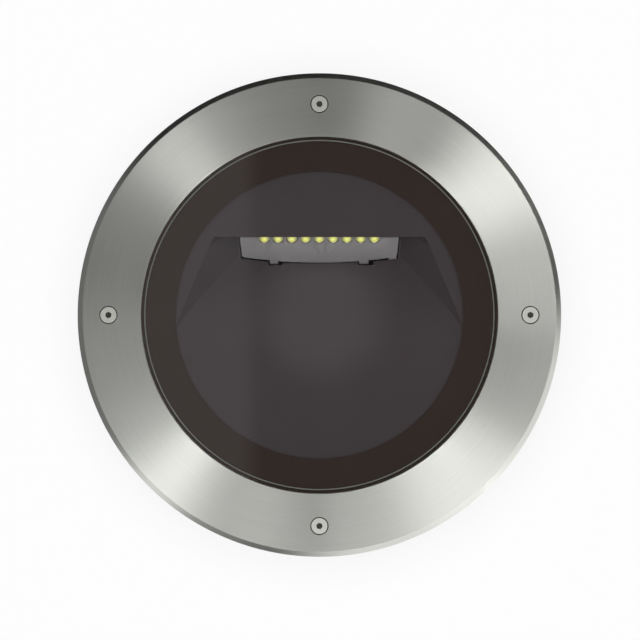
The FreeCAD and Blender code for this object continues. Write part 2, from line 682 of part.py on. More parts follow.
# ---- cover: ring, glass, gasket and screws -----------------------------------------------
def trim_ring():
    """Brushed stainless ring with a chamfered rim and four countersunk screw seats."""
    body = turned([(RING_BORE, SEAT), (RING_LIP_IN, SEAT), (RING_LIP_IN, SEAT - RING_LIP_DROP),
                   (RING_R, SEAT - RING_LIP_DROP), (RING_R, TOP - RING_CHAMFER),
                   (RING_R - RING_CHAMFER, TOP), (RING_BORE + BORE_CHAMFER, TOP),
                   (RING_BORE, TOP - BORE_CHAMFER)])
    clearance = COVER_SHANK + 0.25
    rim = TOP - 0.6
    seat = turned([(0, SEAT - PAST), (clearance, SEAT - PAST), (clearance, rim - COVER_MOUTH + clearance),
                   (COVER_MOUTH, rim), (COVER_MOUTH, TOP + PAST), (0, TOP + PAST)])
    oring_room = rod(ORING_R + ORING_TUBE + 0.1, SEAT - PAST, SEAT + 1.9)
    placed = [moved(tool, COVER_SCREW_CIRCLE, 0) for tool in (seat, oring_room)]
    return cut(body, [spun(tool, 90 * i) for i in range(4) for tool in placed])


def cover_glass():
    """Stepped toughened glass: the step is clamped under the ring, the face lies flush with it."""
    return turned([(0, GLASS_UNDER), (GLASS_FLANGE_R, GLASS_UNDER), (GLASS_FLANGE_R, GLASS_STEP),
                   (GLASS_R, GLASS_STEP), (GLASS_R, GLASS_TOP - GLASS_CHAMFER),
                   (GLASS_R - GLASS_CHAMFER, GLASS_TOP), (0, GLASS_TOP)])


def glass_gasket():
    """U-section silicone gasket round the edge of the glass."""
    return turned([(GASKET_IN, GLASS_LEDGE), (GASKET_OUT, GLASS_LEDGE), (GASKET_OUT, SEAT),
                   (GASKET_IN, SEAT), (GASKET_IN, GLASS_STEP), (GLASS_FLANGE_R, GLASS_STEP),
                   (GLASS_FLANGE_R, GLASS_UNDER), (GASKET_IN, GLASS_UNDER)])


def screw_orings():
    return group([doughnut(ORING_R, ORING_TUBE, SEAT + 1.0, *polar(COVER_SCREW_CIRCLE, 90 * i))
                  for i in range(4)])


def cover_screw(index):
    """Countersunk socket screw, its head just under the face of the ring."""
    head_top = TOP - 0.25
    rim = head_top - 0.4
    point = 0.5
    body = turned([(0, COVER_SCREW_LOW), (COVER_SHANK - point, COVER_SCREW_LOW),
                   (COVER_SHANK, COVER_SCREW_LOW + point), (COVER_SHANK, rim - COVER_HEAD + COVER_SHANK),
                   (COVER_HEAD, rim), (COVER_HEAD, head_top), (0, head_top)])
    body = cut(body, [hex_bar(COVER_SOCKET, head_top - 2.0, head_top + PAST)])
    return spun(moved(body, COVER_SCREW_CIRCLE, 0), 90 * index)


# ---- optic: turntable, baffle, bracket and lead ------------------------------------------
def arc_slot(radius, half_width, centre, half_angle, z0, z1):
    """A slot along an arc about Z, with round ends."""
    sector = ring(radius - half_width, radius + half_width, z0, z1)
    corners = [polar(2 * radius, centre + side * half_angle) for side in (-1, 0, 1)]
    slot = sector.common(prism([(0, 0)] + corners, z0, z1))
    ends = [rod(half_width, z0, z1, *polar(radius, centre + side * half_angle)) for side in (-1, 1)]
    return fused([slot] + ends)


def turntable():
    """Sheet disc that swivels on the glide ring and carries the optic."""
    low = TURNTABLE_Z
    top = TURNTABLE_TOP
    lightening = 10.0
    holes = [drill(PLUG_BODY + RUNNING, low, top)]
    for centre in LOCK_ANGLES:
        holes.append(arc_slot(LOCK_CIRCLE, LOCK_SHANK + 0.3, centre, SWIVEL_LIMIT + 1,
                              low - PAST, top + PAST))
    holes += [drill(M3 + LOOSE, low, top, *polar(PILLAR_CIRCLE, angle)) for angle in PILLAR_ANGLES]
    holes += [drill(M3 + RUNNING, low, top, x, y) for x in BRACKET_SCREW_X for y in BRACKET_SCREW_Y]
    holes += [drill(lightening, low, top, *polar(48.0, angle)) for angle in (110, 250, 290)]
    return cut(rod(TURNTABLE_R, low, top), holes)


def swivel_plug():
    """Round plug on the swivel axis, with a flange on the turntable and a side exit for the lead."""
    barrel_low = 103.0
    shoulder = 110.0
    body_top = 127.0
    body = fused([rod(PLUG_BARREL, barrel_low, shoulder + BITE), rod(PLUG_BODY, shoulder, body_top),
                  rod(8.5, TURNTABLE_TOP, TURNTABLE_TOP + 1.5)])
    pin_well = rod(1.2, barrel_low - PAST, shoulder - 0.5)
    return cut(body, [pin_well, rod_x(LEAD_R + 0.3, 3.5, PLUG_BODY + 1.5, 0, LEAD_EXIT_Z)])


def module_lead():
    """Two-core lead from the plug, up and into the LED module along the module's own hinge axis."""
    return lead([(3.6, 0, LEAD_EXIT_Z), (20.0, -1.5, LEAD_EXIT_Z - 0.5), (40.0, 1.0, LEAD_EXIT_Z + 0.5),
                 (59.0, 12.0, LEAD_EXIT_Z + 6), (60.0, HINGE_Y, HINGE_Z), (38.0, HINGE_Y, HINGE_Z)], LEAD_R)


def baffle_pillars():
    """Three pillars between the turntable and the baffle, each with a spigot on top."""
    thread_top = 126.0
    pillars = []
    for angle in PILLAR_ANGLES:
        x, y = polar(PILLAR_CIRCLE, angle)
        body = fused([rod(4.0, TURNTABLE_TOP, PILLAR_TOP, x, y),
                      rod(M3, PILLAR_TOP - BITE, PILLAR_TOP + 6, x, y)])
        pillars.append(cut(body, [rod(M3 + RUNNING, TURNTABLE_Z, thread_top, x, y)]))
    return group(pillars)


def pillar_screws():
    """Screws up through the turntable into the pillars."""
    under = TURNTABLE_Z - 1.7
    screws = []
    for angle in PILLAR_ANGLES:
        x, y = polar(PILLAR_CIRCLE, angle)
        body = fused([rod(M3, TURNTABLE_Z - BITE, 124.0, x, y), rod(2.8, under, TURNTABLE_Z, x, y)])
        screws.append(cut(body, [hex_bar(2.0, under - PAST, under + 0.8, x, y)]))
    return group(screws)


def pocket_floor(y):
    """Height of the pocket's sloping floor at a place along Y."""
    return BAFFLE_TOP - (y - POCKET_MOUTH) * POCKET_SLOPE


def above_floor(low_y, back_y, drop):
    """A prism along X of the room over the pocket's floor, which rounds out into the disc's face."""
    lean = atan(POCKET_SLOPE)
    start_y = POCKET_MOUTH - POCKET_RUNOUT_R * tan(lean / 2)
    face_z = BAFFLE_TOP - drop
    low_z = pocket_floor(low_y) - drop
    high_z = BAFFLE_TOP + PAST

    def on_arc(turn):
        return V(-BAFFLE_R, start_y + POCKET_RUNOUT_R * sin(turn),
                 face_z - POCKET_RUNOUT_R * (1 - cos(turn)))

    arc = Part.Arc(on_arc(0), on_arc(lean / 2), on_arc(lean)).toShape()
    rest = [on_arc(lean)] + [V(-BAFFLE_R, y, z) for y, z in (
        (low_y, low_z), (back_y, low_z), (back_y, high_z), (start_y, high_z))] + [on_arc(0)]
    outline = Part.Wire([arc] + Part.makePolygon(rest).Edges)
    return Part.Face(outline).extrude(V(2 * BAFFLE_R, 0, 0))


def pocket(grow, top, drop):
    """The wedge-shaped pocket: its air when grow and drop are 0, else the outside of its walls."""
    low_y = 31.0
    back_y = 45.0
    early = 25.0             # how far the side edges are carried on past the mouth
    mouth, bend, shield = POCKET_HALF
    flare = (mouth - bend) / (POCKET_BEND - POCKET_MOUTH)
    low_z = pocket_floor(low_y) - drop
    half = [(mouth + flare * early, POCKET_MOUTH - early, top), (bend, POCKET_BEND, top),
            (shield, SHIELD_EDGE, top), (43.4, back_y, low_z), (42.2, low_y, low_z)]
    faces = []
    sides = []
    for side in (1, -1):
        a, b, c, d, e = [V(side * (x + grow), y, z) for x, y, z in half]
        faces += [polygon_face(loop) for loop in ([a, e, b], [b, e, d], [b, d, c])]
        sides.append((a, b, c, d, e))
    for chain in ((0, 1, 2), (0, 4), (4, 3), (2, 3)):
        there = [sides[0][i] for i in chain]
        back = [sides[1][i] for i in reversed(chain)]
        faces.append(polygon_face(there + back))
    wedge = Part.Solid(Part.makeShell(faces))
    wedge.fix(0.001, 0.001, 0.001)
    if wedge.Volume < 0:
        wedge.reverse()
    return wedge.common(above_floor(low_y, back_y + PAST, drop))


def module_room():
    """The plan of the opening in the baffle that the LED module stands in, as an upright tool."""
    low_z = 120.0
    high_z = 166.0
    near = 41.1
    far = 44.0
    far_y = 60.0
    edge_y = MODULE_Y + 2.6 - MODULE_GAP
    bow = Part.Arc(V(-near, edge_y, low_z), V(0, MODULE_Y - MODULE_GAP, low_z),
                   V(near, edge_y, low_z)).toShape()
    rest = Part.makePolygon([V(near, edge_y, low_z), V(far, far_y, low_z), V(-far, far_y, low_z),
                             V(-near, edge_y, low_z)])
    return Part.Face(Part.Wire([bow] + rest.Edges)).extrude(V(0, 0, high_z - low_z))


def baffle():
    """Moulded disc with the wedge pocket that the LED bar shines out of."""
    lug_y0 = HINGE_Y - LUG_R - MODULE_GAP
    low = PILLAR_TOP - PAST
    plate = fused([rod(BAFFLE_R, BAFFLE_TOP - BAFFLE_SHEET, BAFFLE_TOP),
                   ring(BAFFLE_R - 1.6, BAFFLE_R, BAFFLE_TOP - BAFFLE_SKIRT, BAFFLE_TOP),
                   pocket(2.0, BAFFLE_TOP - 0.5, POCKET_SHEET)])
    bosses = [rod(5.0, PILLAR_TOP, BAFFLE_TOP - 1, *polar(PILLAR_CIRCLE, a)) for a in PILLAR_ANGLES]
    body = fused([cut(plate, [pocket(0, BAFFLE_TOP, 0)])] + bosses)
    tools = [module_room()]
    for x0, x1 in LUGS:
        tools.append(block(x0 - 0.6, x1 + 0.6 + EAR_GAP + BRACKET_SHEET, lug_y0, 40.0, 120.0, 166.0))
    for angle in PILLAR_ANGLES:
        tools.append(rod(M3 + RUNNING, low, PILLAR_TOP + 7, *polar(PILLAR_CIRCLE, angle)))
    return cut(body, tools)


def ear_span(lug):
    low = lug[1] + EAR_GAP
    return low, low + BRACKET_SHEET


def module_bracket():
    """Folded steel bracket: a foot on the turntable and an ear beside each of the module's lugs."""
    low = TURNTABLE_TOP
    top = low + BRACKET_SHEET
    ear = 3.2
    foot = block(-38.0, 38.0, 17.0, 41.0, low, top)
    window = block(-15.0, 15.0, 22.0, 36.0, low - PAST, top + PAST)
    pieces = [cut(foot, [window])]
    holes = [drill(M3 + LOOSE, low, top, x, y) for x in BRACKET_SCREW_X for y in BRACKET_SCREW_Y]
    for lug in LUGS:
        x0, x1 = ear_span(lug)
        pieces.append(block(x0, x1, HINGE_Y - ear, HINGE_Y + ear, low, HINGE_Z))
        pieces.append(rod_x(ear, x0, x1, HINGE_Y, HINGE_Z))
        holes.append(rod_x(PIVOT_R + 0.02, x0 - PAST, x1 + PAST, HINGE_Y, HINGE_Z))
    return cut(fused(pieces), holes)


def bracket_screws():
    under = TURNTABLE_TOP + BRACKET_SHEET
    return group([cap_screw(M3, M3_HEAD, M3_HEAD_HIGH, 5.0, under, x, y, M3_SOCKET)
                  for x in BRACKET_SCREW_X for y in BRACKET_SCREW_Y])


def pivot_screws():
    """Shoulder screws, one through each ear into the lug beside it."""
    head_r = 2.6
    head_out = 1.6
    recess = 0.9
    slot_half = 0.35
    screws = []
    for lug in LUGS:
        face = ear_span(lug)[1]
        shaft = rod_x(PIVOT_R, lug[0] + 0.4, face + 0.5, HINGE_Y, HINGE_Z)
        head = rod_x(head_r, face + 0.02, face + head_out, HINGE_Y, HINGE_Z)
        slot = block(face + recess, face + head_out + PAST, HINGE_Y - 3, HINGE_Y + 3,
                     HINGE_Z - slot_half, HINGE_Z + slot_half)
        screws.append(cut(fused([shaft, head]), [slot]))
    return group(screws)


# ---- LED module, made flat: +Y up the face, +Z out of it ---------------------------------
def leaned(shape):
    """From the module's flat working frame to its place in the lamp."""
    copy = shape.copy()
    copy.rotate(ORIGIN, ALONG_X, MODULE_LEAN)
    copy.translate(V(0, MODULE_Y, MODULE_Z))
    return copy


def module_outline(inset):
    """The face's outline: bowed lower edge, rounded lower corners, sides flaring a little."""
    low = MODULE_BOW * ((MODULE_CORNER_X + 0.5) / MODULE_HALF_LOW) ** 2 + inset
    corner = MODULE_CORNER_Y + inset
    bow_end = MODULE_CORNER_X - inset
    half_low = MODULE_HALF_LOW - inset
    half_top = MODULE_HALF_TOP - inset
    top = MODULE_LENGTH - inset
    knee_x = half_low - 0.55
    knee_y = low + 0.75
    bow = Part.Arc(V(-bow_end, low, 0), V(0, inset, 0), V(bow_end, low, 0)).toShape()
    right = Part.Arc(V(bow_end, low, 0), V(knee_x, knee_y, 0), V(half_low, corner, 0)).toShape()
    left = Part.Arc(V(-half_low, corner, 0), V(-knee_x, knee_y, 0), V(-bow_end, low, 0)).toShape()
    rest = Part.makePolygon([V(half_low, corner, 0), V(half_top, top, 0), V(-half_top, top, 0),
                             V(-half_low, corner, 0)])
    return Part.Face(Part.Wire([bow, right] + rest.Edges + [left]))


def module_frame():
    """Grey frame: face plate, skirt, two hinge lugs, screw posts and the lead's hollow end boss."""
    skirt = 1.4
    axis = -HINGE_BACK
    plate_back = -MODULE_PLATE
    deep = MODULE_DEPTH + PAST
    boss_x0 = 36.4
    tray = module_outline(0).extrude(V(0, 0, -MODULE_DEPTH))
    inside = module_outline(skirt).extrude(V(0, 0, -deep))
    inside.translate(V(0, 0, plate_back))
    under_edge = block(-37.0, 37.0, -2.0, 6.6, -deep, -MODULE_DEPTH / 2)
    pieces = [cut(tray, [inside, under_edge]), rod_x(2.4, boss_x0, boss_x0 + 4, 0, axis),
              block(boss_x0, boss_x0 + 1.6, 1.2, 4.6, axis - 1.5, -2.0)]
    holes = [rod(LENS_R + LOOSE, -3, PAST, x, LED_LINE) for x in led_places()]
    holes.append(rod_x(LEAD_R + 2 * LOOSE, boss_x0 + 1, 44.0, 0, axis))
    for x0, x1 in LUGS:
        pieces.append(rod_x(LUG_R, x0, x1, 0, axis))
        pieces.append(block(x0, x1, 0.6, 4.0, axis, -0.6))
        holes.append(rod_x(PIVOT_R + RUNNING, x0 - PAST, x1 + PAST, 0, axis))
        holes.append(block(x1, x1 + EAR_GAP + BRACKET_SHEET + 2.2, -6, 5.5, -14, plate_back))
    for x in MODULE_SCREW_X:
        pieces.append(rod(1.9, -5.15, -1.0, x, MODULE_SCREW_Y))
        holes.append(rod(MODULE_SCREW_R + RUNNING, -MODULE_DEPTH, -1.6, x, MODULE_SCREW_Y))
    return leaned(cut(fused(pieces), holes))


def led_places():
    middle = (LED_COUNT - 1) / 2
    return [(i - middle) * LED_PITCH for i in range(LED_COUNT)]


def lens_strip():
    """Clear moulded strip whose domes look out through the face."""
    back = -MODULE_PLATE
    centre = back - 0.3
    well = 1.9
    pieces = [block(-33.0, 33.0, LED_LINE - 4.4, LED_LINE + 3.2, back - 1.0, back)]
    pockets = []
    for x in led_places():
        upper = block(x - 4, x + 4, LED_LINE - 4, LED_LINE + 4, centre, 4)
        pieces.append(Part.makeSphere(LENS_R, V(x, LED_LINE, centre)).common(upper))
        pockets.append(block(x - well, x + well, LED_LINE - well, LED_LINE + well, -4, back + 0.1))
    return leaned(cut(fused(pieces), pockets))


def led_packages():
    """Nine LED packages on the board, each with its small dome."""
    half = 1.7
    dome_r = 1.3
    top = BOARD_FRONT + 0.8
    chips = []
    for x in led_places():
        base = block(x - half, x + half, LED_LINE - half, LED_LINE + half, BOARD_FRONT, top)
        ball = Part.makeSphere(dome_r, V(x, LED_LINE, top - 0.2))
        chips.append(fused([base, ball.common(rod(half, top - 0.1, top + dome_r, x, LED_LINE))]))
    return leaned(group(chips))


def board_layer(z0, z1):
    """A layer of the module's stack with its clearance holes."""
    holes = [drill(2.1, z0, z1, x, MODULE_SCREW_Y) for x in MODULE_SCREW_X]
    return leaned(cut(block(-BOARD_HALF, BOARD_HALF, BOARD_LOW, BOARD_HIGH, z0, z1), holes))


def led_board():
    return board_layer(BOARD_FRONT - BOARD_THICK, BOARD_FRONT)


def thermal_pad():
    return board_layer(BOARD_FRONT - BOARD_THICK - PAD_THICK, BOARD_FRONT - BOARD_THICK)


def heat_sink():
    """Finned aluminium bar behind the board."""
    face = BOARD_FRONT - BOARD_THICK - PAD_THICK
    base_back = face - SINK_BACK
    fin_low = base_back - 10
    fin_count = 17
    fin_pitch = 4.725
    end = 38.6
    far = BOARD_HIGH + 0.4
    pieces = [block(-end, end, 7.5, far, base_back, face)]
    for i in range(fin_count):
        x = (i - (fin_count - 1) / 2) * fin_pitch
        pieces.append(block(x - 0.8, x + 0.8, 8.5, far, fin_low, base_back + 0.1))
    clear = [block(-41.0, 41.0, far - 0.5, far + 2, -MODULE_DEPTH - PAST, 0.0)]
    for x in MODULE_SCREW_X:
        clear.append(rod(MODULE_SCREW_R + 0.15, fin_low, 0, x, MODULE_SCREW_Y))
        clear.append(rod(2.4, fin_low - PAST, base_back, x, MODULE_SCREW_Y))
    return leaned(cut(fused(pieces), clear))


def module_screws():
    """Four screws through the heat sink, pad and board into the frame's posts."""
    under = BOARD_FRONT - BOARD_THICK - PAD_THICK - SINK_BACK
    head_low = under - 1.8
    screws = []
    for x in MODULE_SCREW_X:
        body = fused([rod(MODULE_SCREW_R, under - 0.5, -2.0, x, MODULE_SCREW_Y),
                      rod(1.9, head_low, under, x, MODULE_SCREW_Y)])
        screws.append(cut(body, [hex_bar(1.5, head_low - PAST, head_low + 0.9, x, MODULE_SCREW_Y)]))
    return leaned(group(screws))


MAKERS = (
    sleeve_tube, sleeve_base, sleeve_screws, brass_inserts,
    lamp_housing, lift_screws, gland_body, gland_oring, gland_seal, gland_nut, gland_locknut, vent_plug,
    driver_case, driver_lid, driver_lid_screws, driver_mount_screws, driver_board, driver_socket,
    terminal_block, terminal_screws, terminal_mount_screws, earth_screw, earth_tongue, earth_washer,
    lead_live, lead_neutral, lead_earth, glide_ring, lock_screws, lock_washers,
    trim_ring, cover_glass, glass_gasket, screw_orings,
    turntable, swivel_plug, module_lead, baffle_pillars, pillar_screws, baffle,
    module_bracket, bracket_screws, pivot_screws,
    module_frame, lens_strip, led_packages, led_board, thermal_pad, heat_sink, module_screws,
)


def save(name, shape):
    if not shape.isValid():
        raise ValueError(name + " isn't a valid solid")
    shape.exportStep("parts/" + name + ".step")


os.makedirs("parts", exist_ok=True)
for make in MAKERS:
    save(make.__name__, make())
for number in range(4):
    save("cover_screw_%d" % (number + 1), cover_screw(number))
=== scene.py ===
"""In ground well light: the looks of its pieces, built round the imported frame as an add-on."""

import json
import math

import bmesh
import bpy
from bpy.props import FloatProperty, FloatVectorProperty, IntProperty, PointerProperty
from mathutils import Matrix, Vector


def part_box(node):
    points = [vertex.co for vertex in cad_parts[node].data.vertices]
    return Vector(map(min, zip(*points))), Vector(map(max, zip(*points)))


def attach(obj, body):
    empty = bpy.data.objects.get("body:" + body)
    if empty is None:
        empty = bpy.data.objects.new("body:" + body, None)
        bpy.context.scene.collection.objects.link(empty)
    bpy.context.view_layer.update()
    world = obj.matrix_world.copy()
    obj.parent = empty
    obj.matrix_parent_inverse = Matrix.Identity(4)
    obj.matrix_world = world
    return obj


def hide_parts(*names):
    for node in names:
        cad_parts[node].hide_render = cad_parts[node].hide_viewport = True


bl_info = {
    "name": "In Ground Well Light",
    "version": (1, 0, 0),
    "blender": (4, 5, 0),
    "location": "3D View > Sidebar > Well Light",
    "description": "Models and finishes the pieces of an in ground well light round its frame",
    "category": "Add Mesh",
}

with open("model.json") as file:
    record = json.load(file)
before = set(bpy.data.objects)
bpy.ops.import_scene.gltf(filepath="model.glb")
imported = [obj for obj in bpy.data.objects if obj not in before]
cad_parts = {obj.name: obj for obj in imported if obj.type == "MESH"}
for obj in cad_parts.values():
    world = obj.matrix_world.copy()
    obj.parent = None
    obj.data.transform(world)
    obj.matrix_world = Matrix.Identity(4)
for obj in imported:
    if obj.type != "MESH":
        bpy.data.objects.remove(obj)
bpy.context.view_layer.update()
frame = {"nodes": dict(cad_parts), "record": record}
MM = 0.001

RING_LOW, RING_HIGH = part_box("trim_ring")
GLASS_LOW, GLASS_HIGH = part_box("cover_glass")
SCREW_LOW, SCREW_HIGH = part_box("cover_screw_1")

SCREW_AZIMUTHS = {1: 0.0, 2: 90.0, 3: 180.0, 4: 270.0}
UP = 0.9                     # a face whose normal rises more than this is level
TOUCH = 0.01 * MM            # how far a face may be from where it is looked for
RIM_SOFT = 0.15 * MM         # soft edge left on the ring's arrises
SCREW_SOFT = 0.18 * MM       # soft edge of a screw's head
BAFFLE_SOFT = 0.35 * MM      # soft edges of the moulded baffle and of the module's frame
MODULE_SOFT = 0.25 * MM
SHANK_PLAY = 0.3 * MM        # gap round a screw's shank in its bore
SCREW_STEPS = 64             # faces round a screw and its countersink
PRINT_GAP = 0.01 * MM        # hair of air between the glass and its print
LED_LIGHT = 180.0            # how much brighter the lenses shine than they look
LED_PITCH = 7.2 * MM
LED_ROW_Y = 39.6 * MM        # where the row of lenses shows, measured along the light
GLASS_STEPS = 288            # faces round the glass and its print
FLOOR_RADIUS = 8.0
FLOOR_DROP = 0.5 * MM        # gap between the floor and the foot
FLOOR_GLOW = 0.88            # share of the floor's own white where it is seen; the rest takes shadow
FLOOR_MATT = 0.72            # lightness of that rest
STAGE_STEPS = 96             # faces round the floor and the curtain
CURTAIN_RADIUS = 0.30        # curtain of rim cards round the light, and its height
CURTAIN_HEIGHT = 0.45
GLASS_CARD_X = -0.2          # middle of the card over the glass, and its two sides
GLASS_CARD_SIZE = (0.6, 0.5)


# ---------------------------------------------------------------- colours and nodes

def linear(code):
    """An sRGB hex code as a linear colour, fully opaque."""
    parts = [int(code[i:i + 2], 16) / 255 for i in (0, 2, 4)]
    steep = [p / 12.92 if p <= 0.04045 else ((p + 0.055) / 1.055) ** 2.4 for p in parts]
    return (*steep, 1.0)


def add(tree, kind, at=(0, 0), values=None, **settings):
    """A node of that kind with its settings, its input values and its input links."""
    node = tree.nodes.new(kind)
    node.location = at
    for name, value in settings.items():
        setattr(node, name, value)
    for name, value in (values or {}).items():
        if isinstance(value, bpy.types.NodeSocket):
            tree.links.new(value, node.inputs[name])
        else:
            node.inputs[name].default_value = value
    return node


def new_material(name):
    """An empty node material, its tree and its output node."""
    material = bpy.data.materials.new(name)
    material.use_nodes = True
    tree = material.node_tree
    tree.nodes.clear()
    output = tree.nodes.new("ShaderNodeOutputMaterial")
    output.location = (900, 0)
    return material, tree, output


def seen_directly(tree, x, y):
    """Nodes that give 1 to rays from the eye, also by way of glass or gloss, and 0 to the rest."""
    path = add(tree, "ShaderNodeLightPath", (x, y))
    seen = add(tree, "ShaderNodeMath", (x + 200, y),
               {0: path.outputs["Is Camera Ray"], 1: path.outputs["Is Transmission Ray"]}, operation="ADD")
    return add(tree, "ShaderNodeMath", (x + 400, y),
               {0: seen.outputs[0], 1: path.outputs["Is Glossy Ray"]}, operation="ADD", use_clamp=True)


# ---------------------------------------------------------------- materials

def grained(name, shade_a, shade_b, grain_mm, roughness, rough_spread, bump_mm, **shader):
    """A solid with a fine grain in its colour, gloss and relief, at a size in millimetres."""
    material, tree, output = new_material(name)
    place = add(tree, "ShaderNodeTexCoord", (-900, 0))
    grain = add(tree, "ShaderNodeTexNoise", (-650, 0),
                {"Vector": place.outputs["Object"], "Scale": 1 / (grain_mm * MM),
                 "Detail": 3.0, "Roughness": 0.6})
    # A slow cloud, 25 grains wide, keeps a large face from looking even.
    cloud = add(tree, "ShaderNodeTexNoise", (-650, -300),
                {"Vector": place.outputs["Object"], "Scale": 1 / (grain_mm * 25 * MM), "Detail": 2.0})
    blend = add(tree, "ShaderNodeMath", (-420, -150),
                {0: grain.outputs["Fac"], 1: cloud.outputs["Fac"], 2: 0.2}, operation="MULTIPLY_ADD")
    colour = add(tree, "ShaderNodeMix", (-200, 100),
                 {"Factor": blend.outputs[0], 6: shade_a, 7: shade_b}, data_type="RGBA")
    gloss = add(tree, "ShaderNodeMapRange", (-200, -150),
                {"Value": blend.outputs[0], "To Min": roughness - rough_spread,
                 "To Max": roughness + rough_spread})
    relief = add(tree, "ShaderNodeBump", (-200, -400),
                 {"Height": grain.outputs["Fac"], "Strength": 1.0, "Distance": bump_mm * MM})
    body = add(tree, "ShaderNodeBsdfPrincipled", (300, 0),
               {"Base Color": colour.outputs[2], "Roughness": gloss.outputs["Result"],
                "Normal": relief.outputs["Normal"], **shader})
    tree.links.new(body.outputs[0], output.inputs["Surface"])
    return material


def brushed_ring_steel():
    """Stainless sheet ring, brushed as it turned: fine circular lines that spread light across them."""
    material, tree, output = new_material("Circular brushed stainless steel")
    place = add(tree, "ShaderNodeTexCoord", (-1500, 0))
    parts = add(tree, "ShaderNodeSeparateXYZ", (-1300, 0), {0: place.outputs["Object"]})
    flat = add(tree, "ShaderNodeCombineXYZ", (-1100, 100),
               {"X": parts.outputs["X"], "Y": parts.outputs["Y"]})
    radius = add(tree, "ShaderNodeVectorMath", (-900, 100), {0: flat.outputs[0]}, operation="LENGTH")
    heading = add(tree, "ShaderNodeVectorMath", (-900, -100), {0: flat.outputs[0]},
                  operation="NORMALIZE")
    turn = add(tree, "ShaderNodeSeparateXYZ", (-700, -100), {0: heading.outputs[0]})
    # A brush line is about 0.1 mm wide; it is drawn at 0.6 mm so that it shows.
    across = add(tree, "ShaderNodeMath", (-700, 100),
                 {0: radius.outputs["Value"], 1: 1 / (0.6 * MM)}, operation="MULTIPLY")
    # Along itself a line changes only a few times on its way round.
    along_x = add(tree, "ShaderNodeMath", (-500, -50), {0: turn.outputs["X"], 1: 2.2},
                  operation="MULTIPLY")
    along_y = add(tree, "ShaderNodeMath", (-500, -220), {0: turn.outputs["Y"], 1: 2.2},
                  operation="MULTIPLY")
    lines_at = add(tree, "ShaderNodeCombineXYZ", (-300, 0),
                   {"X": across.outputs[0], "Y": along_x.outputs[0], "Z": along_y.outputs[0]})
    lines = add(tree, "ShaderNodeTexNoise", (-100, 0),
                {"Vector": lines_at.outputs[0], "Scale": 1.0, "Detail": 4.0, "Roughness": 0.65})
    # Every so often the brush ran a little rougher, over bands about 5 mm wide.
    bands = add(tree, "ShaderNodeTexNoise", (-100, -250),
                {"Vector": lines_at.outputs[0], "Scale": 0.12, "Detail": 2.0, "Roughness": 0.5})
    mixed = add(tree, "ShaderNodeMath", (80, -100),
                {0: lines.outputs["Fac"], 1: bands.outputs["Fac"]}, operation="ADD")
    colour = add(tree, "ShaderNodeMix", (150, 150),
                 {"Factor": lines.outputs["Fac"], 6: linear("CBCCC6"), 7: linear("DDDED8")},
                 data_type="RGBA")
    gloss = add(tree, "ShaderNodeMapRange", (250, -100),
                {"Value": mixed.outputs[0], "From Max": 2.0, "To Min": 0.26, "To Max": 0.35})
    relief = add(tree, "ShaderNodeBump", (150, -350),
                 {"Height": lines.outputs["Fac"], "Strength": 0.25, "Distance": 0.004 * MM})
    spread = add(tree, "ShaderNodeTangent", (150, -550), direction_type="RADIAL", axis="Z")
    body = add(tree, "ShaderNodeBsdfPrincipled", (500, 0),
               {"Base Color": colour.outputs[2], "Metallic": 1.0, "Roughness": gloss.outputs["Result"],
                "Anisotropic": 1.0, "Anisotropic Rotation": 0.25,
                "Normal": relief.outputs["Normal"], "Tangent": spread.outputs["Tangent"]})
    tree.links.new(body.outputs[0], output.inputs["Surface"])
    return material


def tumbled_steel():
    """Stainless fastener, cold headed and tumbled: an even satin sheen."""
    return grained("Tumbled stainless steel", linear("C6C7C1"), linear("D0D1CB"),
                   0.5, 0.78, 0.04, 0.001, Metallic=1.0)


def float_glass():
    """Toughened float glass, ground at its rim: clear, a faint green, polished faces."""
    material, tree, output = new_material("Toughened float glass")
    place = add(tree, "ShaderNodeTexCoord", (-700, 0))
    smear = add(tree, "ShaderNodeTexNoise", (-450, 0),
                {"Vector": place.outputs["Object"], "Scale": 1 / (30 * MM), "Detail": 2.0})
    gloss = add(tree, "ShaderNodeMapRange", (-200, 0),
                {"Value": smear.outputs["Fac"], "To Min": 0.0, "To Max": 0.02})
    glass = add(tree, "ShaderNodeBsdfPrincipled", (100, 0),
                {"Base Color": linear("FBFDFB"), "Roughness": gloss.outputs["Result"],
                 "IOR": 1.5, "Transmission Weight": 1.0})
    path = add(tree, "ShaderNodeLightPath", (100, 350))
    clear = add(tree, "ShaderNodeBsdfTransparent", (350, -200), {"Color": linear("F7FAF7")})
    mixed = add(tree, "ShaderNodeMixShader", (600, 0),
                {0: path.outputs["Is Shadow Ray"], 1: glass.outputs[0], 2: clear.outputs[0]})
    tree.links.new(mixed.outputs[0], output.inputs["Surface"])
    return material


def ground_glass():
    """The ground bevel of the glass: frosted, so that it catches a little light."""
    return grained("Ground glass edge", linear("7C807C"), linear("929692"), 0.3, 0.6, 0.05, 0.002,
                   **{"Transmission Weight": 0.55, "IOR": 1.5})


